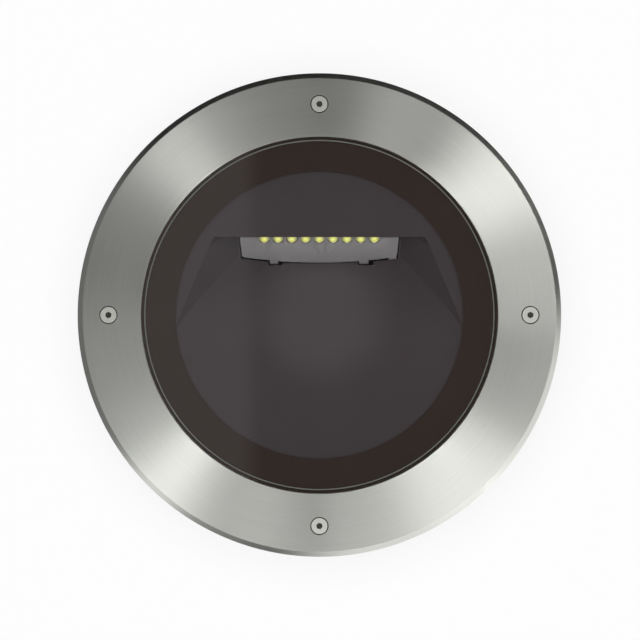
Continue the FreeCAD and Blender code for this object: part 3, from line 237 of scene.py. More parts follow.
def led_glow():
    """Moulded clear lenses over lit phosphor: a pale yellow core that fades into the grey plate."""
    material, tree, output = new_material("Moulded lens over lit phosphor")
    place = add(tree, "ShaderNodeTexCoord", (-1100, 0))
    parts = add(tree, "ShaderNodeSeparateXYZ", (-900, 0), {0: place.outputs["Object"]})
    # Each lens is centred on a whole number of pitches from the middle one.
    step = add(tree, "ShaderNodeMath", (-700, 150), {0: parts.outputs["X"], 1: LED_PITCH},
               operation="DIVIDE")
    whole = add(tree, "ShaderNodeMath", (-500, 200), {0: step.outputs[0]}, operation="ROUND")
    off_x = add(tree, "ShaderNodeMath", (-300, 150), {0: step.outputs[0], 1: whole.outputs[0]},
                operation="SUBTRACT")
    near_y = add(tree, "ShaderNodeMath", (-700, -50), {0: parts.outputs["Y"], 1: LED_ROW_Y},
                 operation="SUBTRACT")
    off_y = add(tree, "ShaderNodeMath", (-500, -50), {0: near_y.outputs[0], 1: LED_PITCH},
                operation="DIVIDE")
    offset = add(tree, "ShaderNodeCombineXYZ", (-100, 100),
                 {"X": off_x.outputs[0], "Y": off_y.outputs[0]})
    away = add(tree, "ShaderNodeVectorMath", (100, 100), {0: offset.outputs[0]}, operation="LENGTH")
    # From a lens's middle outwards, with the place of each colour as a share of the pitch.
    ramp = add(tree, "ShaderNodeValToRGB", (300, 200), {0: away.outputs["Value"]})
    stops = ramp.color_ramp.elements
    stops[0].position = 0.0
    stops[0].color = linear("F0EE30")
    stops[1].position = 0.43
    stops[1].color = linear("56543C")
    for position, code in ((0.143, "CECD3F"), (0.287, "8E8A40")):
        stops.new(position).color = linear(code)
    # The eye sees the dimmed lens. What it lights gets the full lamp, from the middle of the lens.
    seen = seen_directly(tree, -100, 600)
    lit = add(tree, "ShaderNodeMapRange", (300, 400),
              {"Value": away.outputs["Value"], "From Max": 0.2, "To Min": LED_LIGHT, "To Max": 0.0})
    shown = add(tree, "ShaderNodeMix", (500, 300),
                {"Factor": seen.outputs[0], 6: lit.outputs["Result"], 7: ramp.outputs[0]},
                data_type="RGBA")
    body = add(tree, "ShaderNodeBsdfPrincipled", (700, 0),
               {"Base Color": linear("7A7A7A"), "Roughness": 0.35, "IOR": 1.49,
                "Emission Color": shown.outputs[2], "Emission Strength": 0.9})
    tree.links.new(body.outputs[0], output.inputs["Surface"])
    return material


def plain_materials():
    """One grained material for each finish that has no special one."""
    made = {}
    # Painted shade in the sockets and countersinks: a dull dark material that stands in for the shade in
    # these hollows.
    made["silt"] = grained("Dried silt", linear("2A2826"), linear("38352F"), 0.4, 0.85, 0.05, 0.02)
    # Spark textured moulded polypropylene: matt, faintly speckled black.
    made["sleeve_black"] = grained("Moulded black polypropylene", linear("1E1E1D"), linear("2A2A29"),
                                   0.8, 0.55, 0.08, 0.03)
    # Powder coated die cast aluminium: black with a soft orange peel.
    made["housing_black"] = grained("Powder coated cast aluminium", linear("1B1B1C"), linear("262627"),
                                    1.2, 0.42, 0.06, 0.04)
    # Moulded silicone rubber: dull black.
    made["silicone_black"] = grained("Moulded black silicone", linear("161616"), linear("1F1F1F"),
                                     1.0, 0.6, 0.05, 0.01)
    # Turned brass: yellow metal with a clean sheen.
    made["brass"] = grained("Turned brass", linear("C8A45A"), linear("D6B56E"), 0.4, 0.28, 0.05, 0.002,
                            Metallic=1.0)
    # Plated turned brass: warm grey metal, brighter than steel.
    made["nickel_brass"] = grained("Nickel plated brass", linear("B9B4A8"), linear("C6C2B8"),
                                   0.6, 0.25, 0.05, 0.002, Metallic=1.0)
    # Moulded case: white with a soft gloss.
    made["driver_white"] = grained("Moulded white polycarbonate", linear("E4E4E0"), linear("EDEDEA"),
                                   0.8, 0.42, 0.05, 0.01)
    # Screen printed mask on glass fibre: green, faintly mottled, half gloss.
    made["circuit_board"] = grained("Solder masked board", linear("1F5A33"), linear("286B3E"),
                                    0.6, 0.35, 0.06, 0.004)
    # Moulded nylon: black and a little shinier than the sleeve.
    made["connector_black"] = grained("Moulded black nylon", linear("1C1C1C"), linear("282828"),
                                      0.6, 0.48, 0.05, 0.01)
    # Moulded polyamide: cream, waxy, half matt.
    made["terminal_cream"] = grained("Moulded cream polyamide", linear("D9D2BC"), linear("E4DECB"),
                                     0.7, 0.5, 0.05, 0.01)
    # Barrel plated steel: pale bluish metal.
    made["zinc_steel"] = grained("Zinc plated steel", linear("B4B6BA"), linear("C4C6CA"),
                                 0.8, 0.33, 0.06, 0.002, Metallic=1.0)
    # Extruded insulation: smooth with a soft gloss. The earth lead mixes green and yellow.
    made["wire_brown"] = grained("Extruded brown insulation", linear("5A3820"), linear("684228"),
                                 0.6, 0.45, 0.05, 0.004)
    made["wire_blue"] = grained("Extruded blue insulation", linear("244E8C"), linear("2C5A9E"),
                                0.6, 0.45, 0.05, 0.004)
    made["wire_green"] = grained("Extruded green insulation", linear("3F7A2C"), linear("B3B030"),
                                 3.0, 0.45, 0.05, 0.004)
    made["wire_black"] = grained("Extruded black insulation", linear("1A1A1A"), linear("242424"),
                                 0.6, 0.45, 0.05, 0.004)
    # Machined acetal: white and a little slick.
    made["acetal_white"] = grained("Machined white acetal", linear("E2E1DC"), linear("ECEBE7"),
                                   0.5, 0.38, 0.05, 0.004)
    # Rolled sheet: pale grey metal with a dull sheen.
    made["sheet_aluminium"] = grained("Mill finish aluminium sheet", linear("A9ABAC"), linear("B6B8B9"),
                                      0.7, 0.4, 0.06, 0.003, Metallic=1.0)
    # Spark textured moulding: a warm dark grey, so matt that it mirrors nothing.
    made["baffle_dark"] = grained("Moulded dark polycarbonate", linear("3B3437"), linear("413A3D"),
                                  0.7, 0.6, 0.05, 0.003, **{"Specular IOR Level": 0.0})
    # Finely textured moulding: a warm mid grey, nearly matt.
    made["module_grey"] = grained("Moulded grey polycarbonate", linear("767074"), linear("7E787C"),
                                  0.7, 0.55, 0.05, 0.006, **{"Specular IOR Level": 0.2})
    # Screen printed white mask: bright and smooth, so that it throws light forward.
    made["board_white"] = grained("White solder mask", linear("DADAD4"), linear("E6E6E2"),
                                  0.6, 0.4, 0.05, 0.003)
    # Cast and cut silicone pad: grey, soft and dull.
    made["pad_grey"] = grained("Filled silicone pad", linear("7C8084"), linear("8A8E92"),
                               0.5, 0.7, 0.05, 0.01)
    # Extruded and anodised: deep black with a faint metal sheen.
    made["aluminium_anodised"] = grained("Black anodised aluminium", linear("1F1F21"), linear("29292B"),
                                         0.6, 0.38, 0.05, 0.003, Metallic=0.6)
    # Ceramic print fired on the glass: an even brown black that mirrors nothing.
    made["frit"] = grained("Fired ceramic print", linear("2E2523"), linear("322927"),
                           0.6, 0.6, 0.03, 0.002, **{"Specular IOR Level": 0.0})
    return made


MATERIALS = {}


# ---------------------------------------------------------------- modelling helpers

def nothing_selected():
    """Leaves object mode with nothing selected."""
    if bpy.context.object and bpy.context.object.mode != "OBJECT":
        bpy.ops.object.mode_set(mode="OBJECT")
    bpy.ops.object.select_all(action="DESELECT")


def take_up(piece):
    """Makes a piece the only selected and active object."""
    nothing_selected()
    piece.select_set(True)
    bpy.context.view_layer.objects.active = piece


def pick(piece, kind, test):
    """Selects, in edit mode, just the vertices, edges or faces that pass a test."""
    mesh = bmesh.from_edit_mesh(piece.data)
    bpy.context.tool_settings.mesh_select_mode = tuple(kind == k for k in ("verts", "edges", "faces"))
    for group in (mesh.verts, mesh.edges, mesh.faces):
        for part in group:
            part.select = False
    for part in getattr(mesh, kind):
        if test(part):
            part.select_set(True)
    mesh.select_flush_mode()
    bmesh.update_edit_mesh(piece.data)


def draw_out(height):
    """Extrudes the selected faces upwards by a height, or downwards by a negative one."""
    bpy.ops.mesh.extrude_region_move(TRANSFORM_OT_translate={"value": (0, 0, height)})


def turn_outwards():
    """Turns all faces of the mesh in edit mode outwards."""
    bpy.ops.mesh.select_all(action="SELECT")
    bpy.ops.mesh.normals_make_consistent(inside=False)


def cut_away(piece, cutter):
    """Cuts one solid out of a piece for good, and removes that solid."""
    take_up(piece)
    cut = piece.modifiers.new("Cut", "BOOLEAN")
    cut.operation = "DIFFERENCE"
    cut.solver = "EXACT"
    cut.object = cutter
    bpy.ops.object.modifier_apply(modifier=cut.name)
    bpy.data.objects.remove(cutter)


def settle(piece, name, material, body, replaced=(), angle=30.0):
    """Names a finished piece, shades it, gives it its material and body, and hides the CAD nodes that it
    replaces.
    """
    take_up(piece)
    bpy.ops.object.transform_apply(location=True, rotation=True, scale=True)
    bpy.ops.object.shade_smooth_by_angle(angle=math.radians(angle), keep_sharp_edges=False)
    piece.name = name
    piece.data.name = name
    piece.data.materials.clear()
    piece.data.materials.append(MATERIALS[material])
    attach(piece, body)
    if replaced:
        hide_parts(*replaced)
    return piece


def coat(piece, material, test):
    """Gives the faces that pass a test a second material."""
    piece.data.materials.append(MATERIALS[material])
    take_up(piece)
    bpy.ops.object.mode_set(mode="EDIT")
    pick(piece, "faces", test)
    piece.active_material_index = 1
    bpy.ops.object.material_slot_assign()
    bpy.ops.object.mode_set(mode="OBJECT")


def edge_reach(edge):
    """Least and greatest distance of an edge's ends from the axis."""
    reach = [math.hypot(v.co.x, v.co.y) for v in edge.verts]
    return min(reach), max(reach)


def screw_centre(screw, azimuth):
    """Where a cover screw stands on its circle, from its azimuth in degrees."""
    turn = math.radians(azimuth)
    return screw.circle * math.cos(turn), screw.circle * math.sin(turn)


def lies_level(edge, height):
    """Whether both ends of an edge are at a height."""
    return all(abs(v.co.z - height) < TOUCH for v in edge.verts)


def on_circle(edge, radius, height):
    """Whether an edge lies on a circle about the axis at a height."""
    low, high = edge_reach(edge)
    return lies_level(edge, height) and abs(low - radius) < TOUCH and abs(high - radius) < TOUCH


# ---------------------------------------------------------------- properties

class RingSizes(bpy.types.PropertyGroup):
    """Sizes of the trim ring."""
    outer_radius: FloatProperty(name="Outer radius", description="Radius of the ring's rim",
                                default=RING_HIGH.x, unit="LENGTH", precision=4)
    bore_radius: FloatProperty(name="Bore radius", description="Radius of the opening round the glass",
                               default=92.3 * MM, unit="LENGTH", precision=4)
    top: FloatProperty(name="Top", description="Height of the ring's face",
                       default=RING_HIGH.z, unit="LENGTH", precision=4)
    thickness: FloatProperty(name="Thickness", description="Thickness of the plate",
                             default=6 * MM, unit="LENGTH", precision=4)
    lip_width: FloatProperty(name="Lip width", description="Width of the lip under the rim",
                             default=5.5 * MM, unit="LENGTH", precision=4)
    chamfer: FloatProperty(name="Chamfer", description="Width of the chamfer round the rim",
                           default=2.6 * MM, unit="LENGTH", precision=4)
    steps: IntProperty(name="Steps", description="Faces round the ring", default=360, min=32)


class ScrewSizes(bpy.types.PropertyGroup):
    """Sizes of the cover screws and their mouths."""
    circle: FloatProperty(name="Circle", description="Radius of the circle that the screws are on",
                          default=109 * MM, unit="LENGTH", precision=4)
    head_radius: FloatProperty(name="Head radius", description="Radius of the countersunk head",
                               default=4.25 * MM, unit="LENGTH", precision=4)
    mouth_radius: FloatProperty(name="Mouth radius", description="Radius of the countersink's mouth",
                                default=4.75 * MM, unit="LENGTH", precision=4)
    shank_radius: FloatProperty(name="Shank radius", description="Radius of the shank",
                                default=2.5 * MM, unit="LENGTH", precision=4)
    socket: FloatProperty(name="Socket", description="Distance across the flats of the socket",
                          default=3 * MM, unit="LENGTH", precision=4)
    socket_depth: FloatProperty(name="Socket depth", description="Depth of the socket",
                                default=2 * MM, unit="LENGTH", precision=4)


class GlassSizes(bpy.types.PropertyGroup):
    """Sizes of the cover glass and its printed border."""
    face_radius: FloatProperty(name="Face radius", description="Radius of the raised face",
                               default=90.5 * MM, unit="LENGTH", precision=4)
    flange_thickness: FloatProperty(name="Flange thickness", description="Thickness of the clamped flange",
                                    default=6 * MM, unit="LENGTH", precision=4)
    chamfer: FloatProperty(name="Chamfer", description="Ground edge of the raised face",
                           default=0.6 * MM, unit="LENGTH", precision=4)
    border_inner: FloatProperty(name="Border inner radius", description="Inner radius of the print",
                                default=74.56 * MM, unit="LENGTH", precision=4)
    border_outer: FloatProperty(name="Border outer radius", description="Outer radius of the print",
                                default=92.8 * MM, unit="LENGTH", precision=4)
    border_film: FloatProperty(name="Border film", description="Thickness of the fired print",
                               default=0.09 * MM, unit="LENGTH", precision=5)


class StageSettings(bpy.types.PropertyGroup):
    """Camera, floor and lamps."""
    camera_height: FloatProperty(name="Camera height", description="Height of the camera above the floor",
                                 default=3.2, unit="LENGTH")
    camera_shift_x: FloatProperty(name="Camera x", description="Camera place across the light",
                                  default=0.31 * MM, unit="LENGTH", precision=5)
    camera_shift_y: FloatProperty(name="Camera y", description="Camera place along the light",
                                  default=-2.58 * MM, unit="LENGTH", precision=5)
    view_width: FloatProperty(name="View width", description="Width seen at the level of the ring",
                              default=330.56 * MM, unit="LENGTH", precision=4)
    softbox_height: FloatProperty(name="Softbox height", description="Height of the lamp overhead",
                                  default=2.2, unit="LENGTH")
    softbox_size: FloatProperty(name="Softbox size", description="Width of the lamp overhead",
                                default=0.4, unit="LENGTH")
    softbox_watts: FloatProperty(name="Softbox power", description="Power of the lamp overhead",
                                 default=50.0, unit="POWER")
    backdrop: FloatVectorProperty(name="Backdrop", description="Colour of the floor and backdrop",
                                  default=(1.0, 1.0, 1.0), subtype="COLOR", size=3)


# ---------------------------------------------------------------- pieces

def annulus(outer, inner, low, high, steps, bottom_step=None):
    """A flat ring between two heights, from a cylinder whose caps are inset and bridged.

    A bottom step leaves a band of that width round the underside, to be drawn down as a lip.
    """
    nothing_selected()
    bpy.ops.mesh.primitive_cylinder_add(vertices=steps, radius=outer, depth=high - low,
                                        location=(0, 0, (high + low) / 2))
    piece = bpy.context.object
    bpy.ops.object.transform_apply(location=True)
    bpy.ops.object.mode_set(mode="EDIT")
    if bottom_step:
        pick(piece, "faces", lambda f: f.normal.z < -UP)
        bpy.ops.mesh.inset(thickness=bottom_step)
        pick(piece, "faces", lambda f: f.normal.z < -UP and len(f.verts) == steps)
        bpy.ops.mesh.inset(thickness=outer - inner - bottom_step)
    else:
        pick(piece, "faces", lambda f: f.normal.z < -UP)
        bpy.ops.mesh.inset(thickness=outer - inner)
    pick(piece, "faces", lambda f: f.normal.z > UP)
    bpy.ops.mesh.inset(thickness=outer - inner)
    pick(piece, "faces", lambda f: abs(f.normal.z) > UP and len(f.verts) == steps)
    bpy.ops.mesh.bridge_edge_loops()
    return piece


class WELL_OT_trim_ring(bpy.types.Operator):
    """Models the brushed trim ring with its chamfer, lip and countersinks"""
    bl_idname = "well_light.trim_ring"
    bl_label = "Trim Ring"

    def execute(self, context):
        ring = context.scene.well_ring
        screw = context.scene.well_screw
        under = ring.top - ring.thickness
        piece = annulus(ring.outer_radius, ring.bore_radius, under, ring.top, ring.steps, ring.lip_width)
        lip_inner = ring.outer_radius - ring.lip_width
        pick(piece, "faces", lambda f: f.normal.z < -UP and
             math.hypot(*f.calc_center_median().xy) > lip_inner)
        draw_out(RING_LOW.z - under)
        pick(piece, "edges", lambda e: on_circle(e, ring.outer_radius, ring.top))
        bpy.ops.mesh.bevel(offset=ring.chamfer, segments=1)
        pick(piece, "edges", lambda e: on_circle(e, ring.outer_radius - ring.chamfer, ring.top)
             or on_circle(e, ring.outer_radius, ring.top - ring.chamfer)
             or (lies_level(e, ring.top) and edge_reach(e)[1] < ring.bore_radius + 0.1 * MM))
        bpy.ops.mesh.bevel(offset=RIM_SOFT, segments=1)
        turn_outwards()
        bpy.ops.object.mode_set(mode="OBJECT")
        for azimuth in SCREW_AZIMUTHS.values():
            cut_away(piece, self.countersink(ring, screw, azimuth))
        settle(piece, "Trim_ring", "stainless_brushed", "cover",
               ("trim_ring",), angle=20.0)
        centres = [screw_centre(screw, azimuth) for azimuth in SCREW_AZIMUTHS.values()]
        # Painted shade: the faces of the countersinks take a dark material for the shade that falls in
        # them.
        coat(piece, "silt", lambda f: f.calc_center_median().z < ring.top - TOUCH
             and any(math.dist(f.calc_center_median().xy, c) < screw.mouth_radius for c in centres))
        return {"FINISHED"}

    def countersink(self, ring, screw, azimuth):
        """A cutter: the countersink's cone, drawn up past the face and down as the shank's bore."""
        nothing_selected()
        depth = screw.mouth_radius - screw.shank_radius - SHANK_PLAY
        bpy.ops.mesh.primitive_cone_add(
            vertices=SCREW_STEPS, radius1=screw.mouth_radius - depth, radius2=screw.mouth_radius,
            depth=depth, location=(*screw_centre(screw, azimuth), ring.top - depth / 2))
        cutter = bpy.context.object
        bpy.ops.object.transform_apply(location=True)
        bpy.ops.object.mode_set(mode="EDIT")
        pick(cutter, "faces", lambda f: f.normal.z > UP)
        draw_out(1 * MM)
        pick(cutter, "faces", lambda f: f.normal.z < -UP)
        draw_out(-10 * MM)
        bpy.ops.object.mode_set(mode="OBJECT")
        return cutter


class WELL_OT_cover_screws(bpy.types.Operator):
    """Models the four countersunk socket screws of the cover"""
    bl_idname = "well_light.cover_screws"
    bl_label = "Cover Screws"

    def execute(self, context):
        screw = context.scene.well_screw
        first = self.screw(screw)
        for number, azimuth in SCREW_AZIMUTHS.items():
            piece = bpy.data.objects.new("screw", first.data.copy())
            context.scene.collection.objects.link(piece)
            centre = screw_centre(screw, azimuth)
            # Each screw came to rest at an angle of its own.
            piece.data.transform(Matrix.Translation((*centre, 0))
                                 @ Matrix.Rotation(math.radians(azimuth) + number, 4, "Z"))
            settle(piece, f"Cover_screw_{number}", "stainless_fastener", f"cover_screw_{number}_body",
                   (f"cover_screw_{number}",), angle=12.0)
            # Painted shade: the socket's walls and floor take a dark material for the shade that falls
            # inside it.
            coat(piece, "silt", lambda f: f.calc_center_median().z < SCREW_HIGH.z - TOUCH
                 and math.dist(f.calc_center_median().xy, centre) < screw.socket / 2 + TOUCH
                 and f.calc_center_median().z > SCREW_HIGH.z - screw.socket_depth - TOUCH)
        bpy.data.objects.remove(first)
        return {"FINISHED"}

    def screw(self, screw):
        """One screw on the axis: cone, shank, soft rim and hexagon socket."""
        nothing_selected()
        depth = screw.head_radius - screw.shank_radius
        bpy.ops.mesh.primitive_cone_add(
            vertices=SCREW_STEPS, radius1=screw.shank_radius, radius2=screw.head_radius, depth=depth,
            location=(0, 0, SCREW_HIGH.z - depth / 2))
        piece = bpy.context.object
        bpy.ops.object.transform_apply(location=True)
        bpy.ops.object.mode_set(mode="EDIT")
        pick(piece, "faces", lambda f: f.normal.z < -UP)
        draw_out(SCREW_LOW.z - SCREW_HIGH.z + depth)
        pick(piece, "edges", lambda e: on_circle(e, screw.head_radius, SCREW_HIGH.z))
        bpy.ops.mesh.bevel(offset=SCREW_SOFT, segments=2)
        nothing_selected()
        # The socket's corners lie farther out than its flats.
        bpy.ops.mesh.primitive_cylinder_add(
            vertices=6, radius=screw.socket / math.sqrt(3), depth=2 * screw.socket_depth,
            location=(0, 0, SCREW_HIGH.z))
        socket = bpy.context.object
        bpy.ops.object.transform_apply(location=True)
        cut_away(piece, socket)
        return piece


class WELL_OT_cover_glass(bpy.types.Operator):
    """Models the stepped cover glass and the print on its underside"""
    bl_idname = "well_light.cover_glass"
    bl_label = "Cover Glass"

    def execute(self, context):
        glass = context.scene.well_glass
        flange_top = GLASS_LOW.z + glass.flange_thickness
        nothing_selected()
        bpy.ops.mesh.primitive_cylinder_add(
            vertices=GLASS_STEPS, radius=GLASS_HIGH.x, depth=glass.flange_thickness,
            location=(0, 0, (GLASS_LOW.z + flange_top) / 2))
        piece = bpy.context.object
        bpy.ops.object.transform_apply(location=True)
        bpy.ops.object.mode_set(mode="EDIT")
        pick(piece, "faces", lambda f: f.normal.z > UP)
        bpy.ops.mesh.inset(thickness=GLASS_HIGH.x - glass.face_radius)
        pick(piece, "faces", lambda f: f.normal.z > UP and len(f.verts) == GLASS_STEPS)
        draw_out(GLASS_HIGH.z - flange_top)
        pick(piece, "edges", lambda e: lies_level(e, GLASS_HIGH.z))
        bpy.ops.mesh.bevel(offset=glass.chamfer, segments=1)
        bpy.ops.object.mode_set(mode="OBJECT")
        settle(piece, "Cover_glass", "clear_glass", "cover", ("cover_glass",), angle=20.0)
        coat(piece, "ground_glass", lambda f: 0.3 < f.normal.z < UP)

        high = GLASS_LOW.z - PRINT_GAP
        border = annulus(glass.border_outer, glass.border_inner, high - glass.border_film, high,
                         GLASS_STEPS)
        turn_outwards()
        bpy.ops.object.mode_set(mode="OBJECT")
        settle(border, "Glass_print", "frit", "cover")
        return {"FINISHED"}


def rounded_copy(node, width):
    """A merged copy of a CAD node's mesh whose sharp edges are softened."""
    source = frame["nodes"][node]
    piece = bpy.data.objects.new(node + "_soft", source.data.copy())
    bpy.context.scene.collection.objects.link(piece)
    take_up(piece)
    bpy.ops.object.mode_set(mode="EDIT")
    bpy.ops.mesh.select_all(action="SELECT")
    bpy.ops.mesh.remove_doubles(threshold=0.002 * MM)
    bpy.ops.mesh.dissolve_limited(angle_limit=math.radians(0.5))
    bpy.ops.mesh.normals_make_consistent(inside=False)
    bpy.ops.object.mode_set(mode="OBJECT")
    soft = piece.modifiers.new("Soft edges", "BEVEL")
    soft.width = width
    soft.segments = 2
    soft.limit_method = "ANGLE"
    soft.angle_limit = math.radians(30.0)
    soft.use_clamp_overlap = True
    bpy.ops.object.modifier_apply(modifier=soft.name)
    return piece


class WELL_OT_baffle(bpy.types.Operator):
    """Softens the edges of the moulded baffle"""
    bl_idname = "well_light.baffle"
    bl_label = "Baffle"

    def execute(self, context):
        piece = rounded_copy("baffle", BAFFLE_SOFT)
        settle(piece, "Baffle", "baffle_dark", "optic", ("baffle",))
        return {"FINISHED"}


class WELL_OT_lamp_module(bpy.types.Operator):
    """Softens the edges of the lamp module's frame"""
    bl_idname = "well_light.lamp_module"
    bl_label = "Lamp Module"

    def execute(self, context):
        piece = rounded_copy("module_frame", MODULE_SOFT)
        settle(piece, "Module_frame", "module_grey", "led_module", ("module_frame",))
        return {"FINISHED"}


class WELL_OT_frame_finishes(bpy.types.Operator):
    """Gives each carried over frame node the material of its slot"""
    bl_idname = "well_light.frame_finishes"
    bl_label = "Frame Finishes"

    def execute(self, context):
        for row in frame["record"]["subparts"]:
            material = MATERIALS.get(row["material_slot"])
            if material is None:
                raise RuntimeError(f"no material for slot {row['material_slot']}")
            mesh = frame["nodes"][row["node"]].data
            mesh.materials.clear()
            mesh.materials.append(material)
        return {"FINISHED"}


# ---------------------------------------------------------------- stage

REFLECTORS = (
    # Lamps that only metal mirrors: they make the bright and dark sectors of the brushed ring.
    # azimuth in degrees, distance from the axis, height over the floor, size, watts
    (32.0, 0.36, 0.95, 0.13, 0.11),
    (36.0, 0.36, 0.95, 0.13, 0.16),
    (68.0, 0.36, 0.95, 0.13, 0.10),
    (233.0, 0.36, 0.95, 0.13, 0.12),
    (256.0, 0.36, 0.95, 0.13, 0.09),
    (226.0, 0.62, 0.72, 0.20, 1.80),
    (312.0, 0.62, 0.72, 0.20, 1.55),
    (12.0, 0.40, 0.85, 0.40, 0.46),
    (22.0, 0.40, 0.85, 0.40, 0.44),
    (250.0, 0.40, 0.85, 0.40, 0.49),
    (300.0, 0.40, 0.85, 0.40, 0.83),
    (320.0, 0.40, 0.85, 0.40, 0.58),
)
GLASS_GLOWS = (
    # Glows on the card over the glass, which the glass mirrors as a faint veil.
    # centre, axes that it fades along, distances where it is full and where it ends, strength
    ((-0.50, 0.0), (1, 0), 0.4133, 0.4443, 0.40),
    ((0.002, 0.001), (1, 1), 0.031, 0.083, 0.46),
)
RIM_CARDS = (
    # Soft white patches on the curtain, which the ring's chamfer mirrors.
    # azimuth, half width and softness in degrees, strength
    (-47.0, 44.0, 12.0, 1.02),
    (-160.0, 55.0, 15.0, 0.20),
)
WORLD_STOPS = (
    # height of the direction, from 0 at the horizon to 1 overhead, and its strength
    (0.0, 0.9), (0.35, 0.9), (0.50, 0.5), (0.65, 0.06), (0.98, 0.02),
)


class WELL_OT_stage(bpy.types.Operator):
    """Sets the camera, floor, backdrop and lamps"""
    bl_idname = "well_light.stage"
    bl_label = "Stage"

    def execute(self, context):
        stage = context.scene.well_stage
        scene = context.scene
        scene.view_settings.view_transform = "Standard"
        self.camera(scene, stage)
        self.floor(stage)
        self.world(scene, stage)
        self.cards(stage)
        softbox = self.lamp("Overhead softbox", Vector((0, 0, stage.softbox_height)), stage.softbox_size,
                            stage.softbox_watts)
        softbox.visible_glossy = False
        softbox.visible_transmission = False
        # The steel mirrors the reflectors and the curtain; the glass doesn't.
        unlit = bpy.data.collections.new("Without reflectors")
        unlit.objects.link(bpy.data.objects["Cover_glass"])
        unlit.collection_objects[0].light_linking.link_state = "EXCLUDE"
        bpy.data.objects["Rim cards"].light_linking.receiver_collection = unlit
        for number, (azimuth, away, height, size, watts) in enumerate(REFLECTORS):
            turn = math.radians(azimuth)
            place = Vector((away * math.cos(turn), away * math.sin(turn), height))
            reflector = self.lamp(f"Reflector {number + 1}", place, size, watts)
            reflector.visible_diffuse = False
            reflector.light_linking.receiver_collection = unlit
        return {"FINISHED"}

    def lamp(self, name, place, size, watts):
        """A round area lamp that faces the light."""
        nothing_selected()
        bpy.ops.object.light_add(type="AREA", location=place)
        lamp = bpy.context.object
        lamp.name = name
        lamp.data.shape = "DISK"
        lamp.data.size = size
        lamp.data.energy = watts
        lamp.rotation_euler = (Vector((0, 0, RING_HIGH.z)) - place).to_track_quat("-Z", "Y").to_euler()
        lamp.visible_camera = False
        return lamp

    def camera(self, scene, stage):
        """A long lens straight above the light."""
        nothing_selected()
        bpy.ops.object.camera_add(
            location=(stage.camera_shift_x, stage.camera_shift_y, stage.camera_height), rotation=(0, 0, 0))
        camera = bpy.context.object
        camera.name = "Camera"
        camera.data.sensor_width = 36.0
        distance = stage.camera_height - RING_HIGH.z
        camera.data.lens = camera.data.sensor_width * distance / stage.view_width
        camera.data.clip_start = 0.05
        camera.data.clip_end = 50.0
        scene.camera = camera

    def floor(self, stage):
        """A pale floor that shows as white and keeps a faint shadow."""
        nothing_selected()
        bpy.ops.mesh.primitive_circle_add(vertices=STAGE_STEPS, radius=FLOOR_RADIUS, fill_type="NGON",
                                          location=(0, 0, -FLOOR_DROP))
        floor = bpy.context.object
        floor.name = "Floor"
        material, tree, output = new_material("Pale studio floor")
        seen = seen_directly(tree, -700, 200)
        share = add(tree, "ShaderNodeMath", (-50, 200), {0: seen.outputs[0], 1: FLOOR_GLOW},
                    operation="MULTIPLY")
        matt = add(tree, "ShaderNodeBsdfDiffuse", (-50, 0),
                   {"Color": (FLOOR_MATT, FLOOR_MATT, FLOOR_MATT, 1)})
        white = add(tree, "ShaderNodeEmission", (-50, -150),
                    {"Color": (*stage.backdrop, 1), "Strength": 1.0})
        mixed = add(tree, "ShaderNodeMixShader", (250, 0),
                    {0: share.outputs[0], 1: matt.outputs[0], 2: white.outputs[0]})
        tree.links.new(mixed.outputs[0], output.inputs["Surface"])
        floor.data.materials.append(material)

    def world(self, scene, stage):
        """White round the horizon, dimmer overhead, and nearly dark straight above."""
        world = bpy.data.worlds.new("Studio")
        scene.world = world
        world.use_nodes = True
        tree = world.node_tree
        tree.nodes.clear()
        place = add(tree, "ShaderNodeTexCoord", (-800, 0))
        parts = add(tree, "ShaderNodeSeparateXYZ", (-600, 0), {0: place.outputs["Generated"]})
        ramp = add(tree, "ShaderNodeValToRGB", (-400, 0), {0: parts.outputs["Z"]})
        stops = ramp.color_ramp.elements
        for position, _ in WORLD_STOPS[2:]:
            stops.new(position)
        for stop, (position, strength) in zip(stops, WORLD_STOPS):
            stop.position = position
            stop.color = (strength, strength, strength, 1)
        path = add(tree, "ShaderNodeLightPath", (-400, 300))
        colour = add(tree, "ShaderNodeMix", (-100, 100),
                     {"Factor": path.outputs["Is Camera Ray"], 6: ramp.outputs[0],
                      7: (*stage.backdrop, 1)}, data_type="RGBA")
        back = add(tree, "ShaderNodeBackground", (150, 0), {"Color": colour.outputs[2], "Strength": 1.0})
        output = add(tree, "ShaderNodeOutputWorld", (400, 0))
        tree.links.new(back.outputs[0], output.inputs["Surface"])

    def cards(self, stage):
        """A card over the glass, and a curtain of cards round the rim."""
        nothing_selected()
        bpy.ops.mesh.primitive_plane_add(size=1.0, location=(GLASS_CARD_X, 0, stage.camera_height))
        bpy.context.object.scale = (*GLASS_CARD_SIZE, 1)
        self.only_reflected(bpy.context.object, "Glass card", self.glass_glow())
        nothing_selected()
        bpy.ops.mesh.primitive_cylinder_add(
            vertices=STAGE_STEPS, radius=CURTAIN_RADIUS, depth=CURTAIN_HEIGHT, end_fill_type="NOTHING",
            location=(0, 0, CURTAIN_HEIGHT / 2))
        self.only_reflected(bpy.context.object, "Rim cards", self.rim_glow())

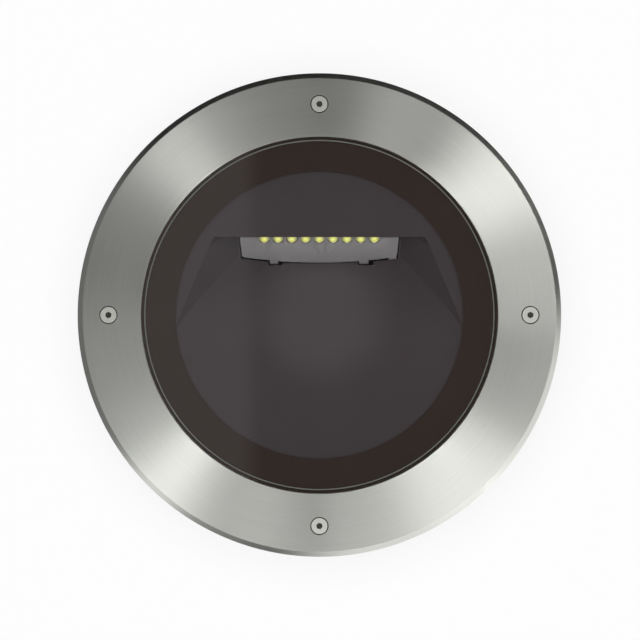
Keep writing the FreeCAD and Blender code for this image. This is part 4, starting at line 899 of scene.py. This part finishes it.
    def glass_glow(self):
        """A black card over the glass with a soft white band along one side and a soft white disc."""
        material, tree, output = new_material("Glass card")
        place = add(tree, "ShaderNodeTexCoord", (-900, 0))
        glows = []
        for row, (middle, axes, full, end, strength) in enumerate(GLASS_GLOWS):
            offset = add(tree, "ShaderNodeVectorMath", (-700, -200 * row),
                         {0: place.outputs["Object"], 1: (*middle, 0)}, operation="SUBTRACT")
            along = add(tree, "ShaderNodeVectorMath", (-500, -200 * row),
                        {0: offset.outputs[0], 1: (*axes, 0)}, operation="MULTIPLY")
            away = add(tree, "ShaderNodeVectorMath", (-300, -200 * row), {0: along.outputs[0]},
                       operation="LENGTH")
            glows.append(add(tree, "ShaderNodeMapRange", (-100, -200 * row),
                             {"Value": away.outputs["Value"], "From Min": full, "From Max": end,
                              "To Min": strength, "To Max": 0.0}, interpolation_type="SMOOTHSTEP"))
        total = add(tree, "ShaderNodeMath", (100, 0),
                    {0: glows[0].outputs["Result"], 1: glows[1].outputs["Result"]}, operation="ADD")
        glow = add(tree, "ShaderNodeEmission", (300, 0),
                   {"Color": (1, 1, 1, 1), "Strength": total.outputs[0]})
        tree.links.new(glow.outputs[0], output.inputs["Surface"])
        return material

    def rim_glow(self):
        """A black curtain with a soft white patch for each card, by its azimuth."""
        material, tree, output = new_material("Rim cards")
        place = add(tree, "ShaderNodeTexCoord", (-1200, 0))
        level = add(tree, "ShaderNodeVectorMath", (-1000, 0),
                    {0: place.outputs["Object"], 1: (1, 1, 0)}, operation="MULTIPLY")
        heading = add(tree, "ShaderNodeVectorMath", (-800, 0), {0: level.outputs[0]}, operation="NORMALIZE")
        total = None
        for row, (azimuth, half, soft, strength) in enumerate(RIM_CARDS):
            turn = math.radians(azimuth)
            match = add(tree, "ShaderNodeVectorMath", (-600, -200 * row),
                        {0: heading.outputs[0], 1: (math.cos(turn), math.sin(turn), 0)},
                        operation="DOT_PRODUCT")
            patch = add(tree, "ShaderNodeMapRange", (-400, -200 * row),
                        {"Value": match.outputs["Value"], "From Min": math.cos(math.radians(half + soft)),
                         "From Max": math.cos(math.radians(half - soft)), "To Max": strength},
                        interpolation_type="SMOOTHSTEP")
            if total is None:
                total = patch.outputs["Result"]
            else:
                total = add(tree, "ShaderNodeMath", (-200, -200 * row),
                            {0: total, 1: patch.outputs["Result"]}, operation="ADD").outputs[0]
        glow = add(tree, "ShaderNodeEmission", (100, 0), {"Color": (1, 1, 1, 1), "Strength": total})
        tree.links.new(glow.outputs[0], output.inputs["Surface"])
        return material

    def only_reflected(self, card, name, material):
        """Sets a card in place so that only glossy surfaces see it."""
        take_up(card)
        bpy.ops.object.transform_apply(location=True, rotation=True, scale=True)
        card.name = name
        card.data.materials.append(material)
        card.visible_camera = False
        card.visible_diffuse = False
        card.visible_transmission = False
        card.visible_shadow = False


class WELL_PT_panel(bpy.types.Panel):
    """Lists the pieces of the well light"""
    bl_idname = "WELL_PT_panel"
    bl_label = "Well Light"
    bl_space_type = "VIEW_3D"
    bl_region_type = "UI"
    bl_category = "Well Light"

    def draw(self, context):
        for group in ("well_ring", "well_screw", "well_glass", "well_stage"):
            box = self.layout.box()
            settings = getattr(context.scene, group)
            for name in settings.bl_rna.properties.keys():
                if name not in ("rna_type", "name"):
                    box.prop(settings, name)
        for operator in OPERATORS:
            self.layout.operator(operator.bl_idname)


GROUPS = {"well_ring": RingSizes, "well_screw": ScrewSizes, "well_glass": GlassSizes,
          "well_stage": StageSettings}
OPERATORS = (WELL_OT_frame_finishes, WELL_OT_trim_ring, WELL_OT_cover_screws, WELL_OT_cover_glass,
             WELL_OT_baffle, WELL_OT_lamp_module, WELL_OT_stage)


def register():
    """Registers every class and hangs the settings on the scene."""
    for cls in (*GROUPS.values(), *OPERATORS, WELL_PT_panel):
        bpy.utils.register_class(cls)
    for name, cls in GROUPS.items():
        setattr(bpy.types.Scene, name, PointerProperty(type=cls))


def unregister():
    """Takes the settings and every class away again."""
    for name in GROUPS:
        delattr(bpy.types.Scene, name)
    for cls in reversed((*GROUPS.values(), *OPERATORS, WELL_PT_panel)):
        bpy.utils.unregister_class(cls)


def main():
    """Builds the whole light."""
    register()
    MATERIALS.update(plain_materials())
    MATERIALS["stainless_brushed"] = brushed_ring_steel()
    MATERIALS["stainless_fastener"] = tumbled_steel()
    MATERIALS["clear_glass"] = float_glass()
    MATERIALS["ground_glass"] = ground_glass()
    MATERIALS["led_phosphor"] = led_glow()
    MATERIALS["lens_clear"] = MATERIALS["led_phosphor"]
    for operator in OPERATORS:
        category, name = operator.bl_idname.split(".")
        getattr(getattr(bpy.ops, category), name)()


if __name__ == "__main__":
    main()
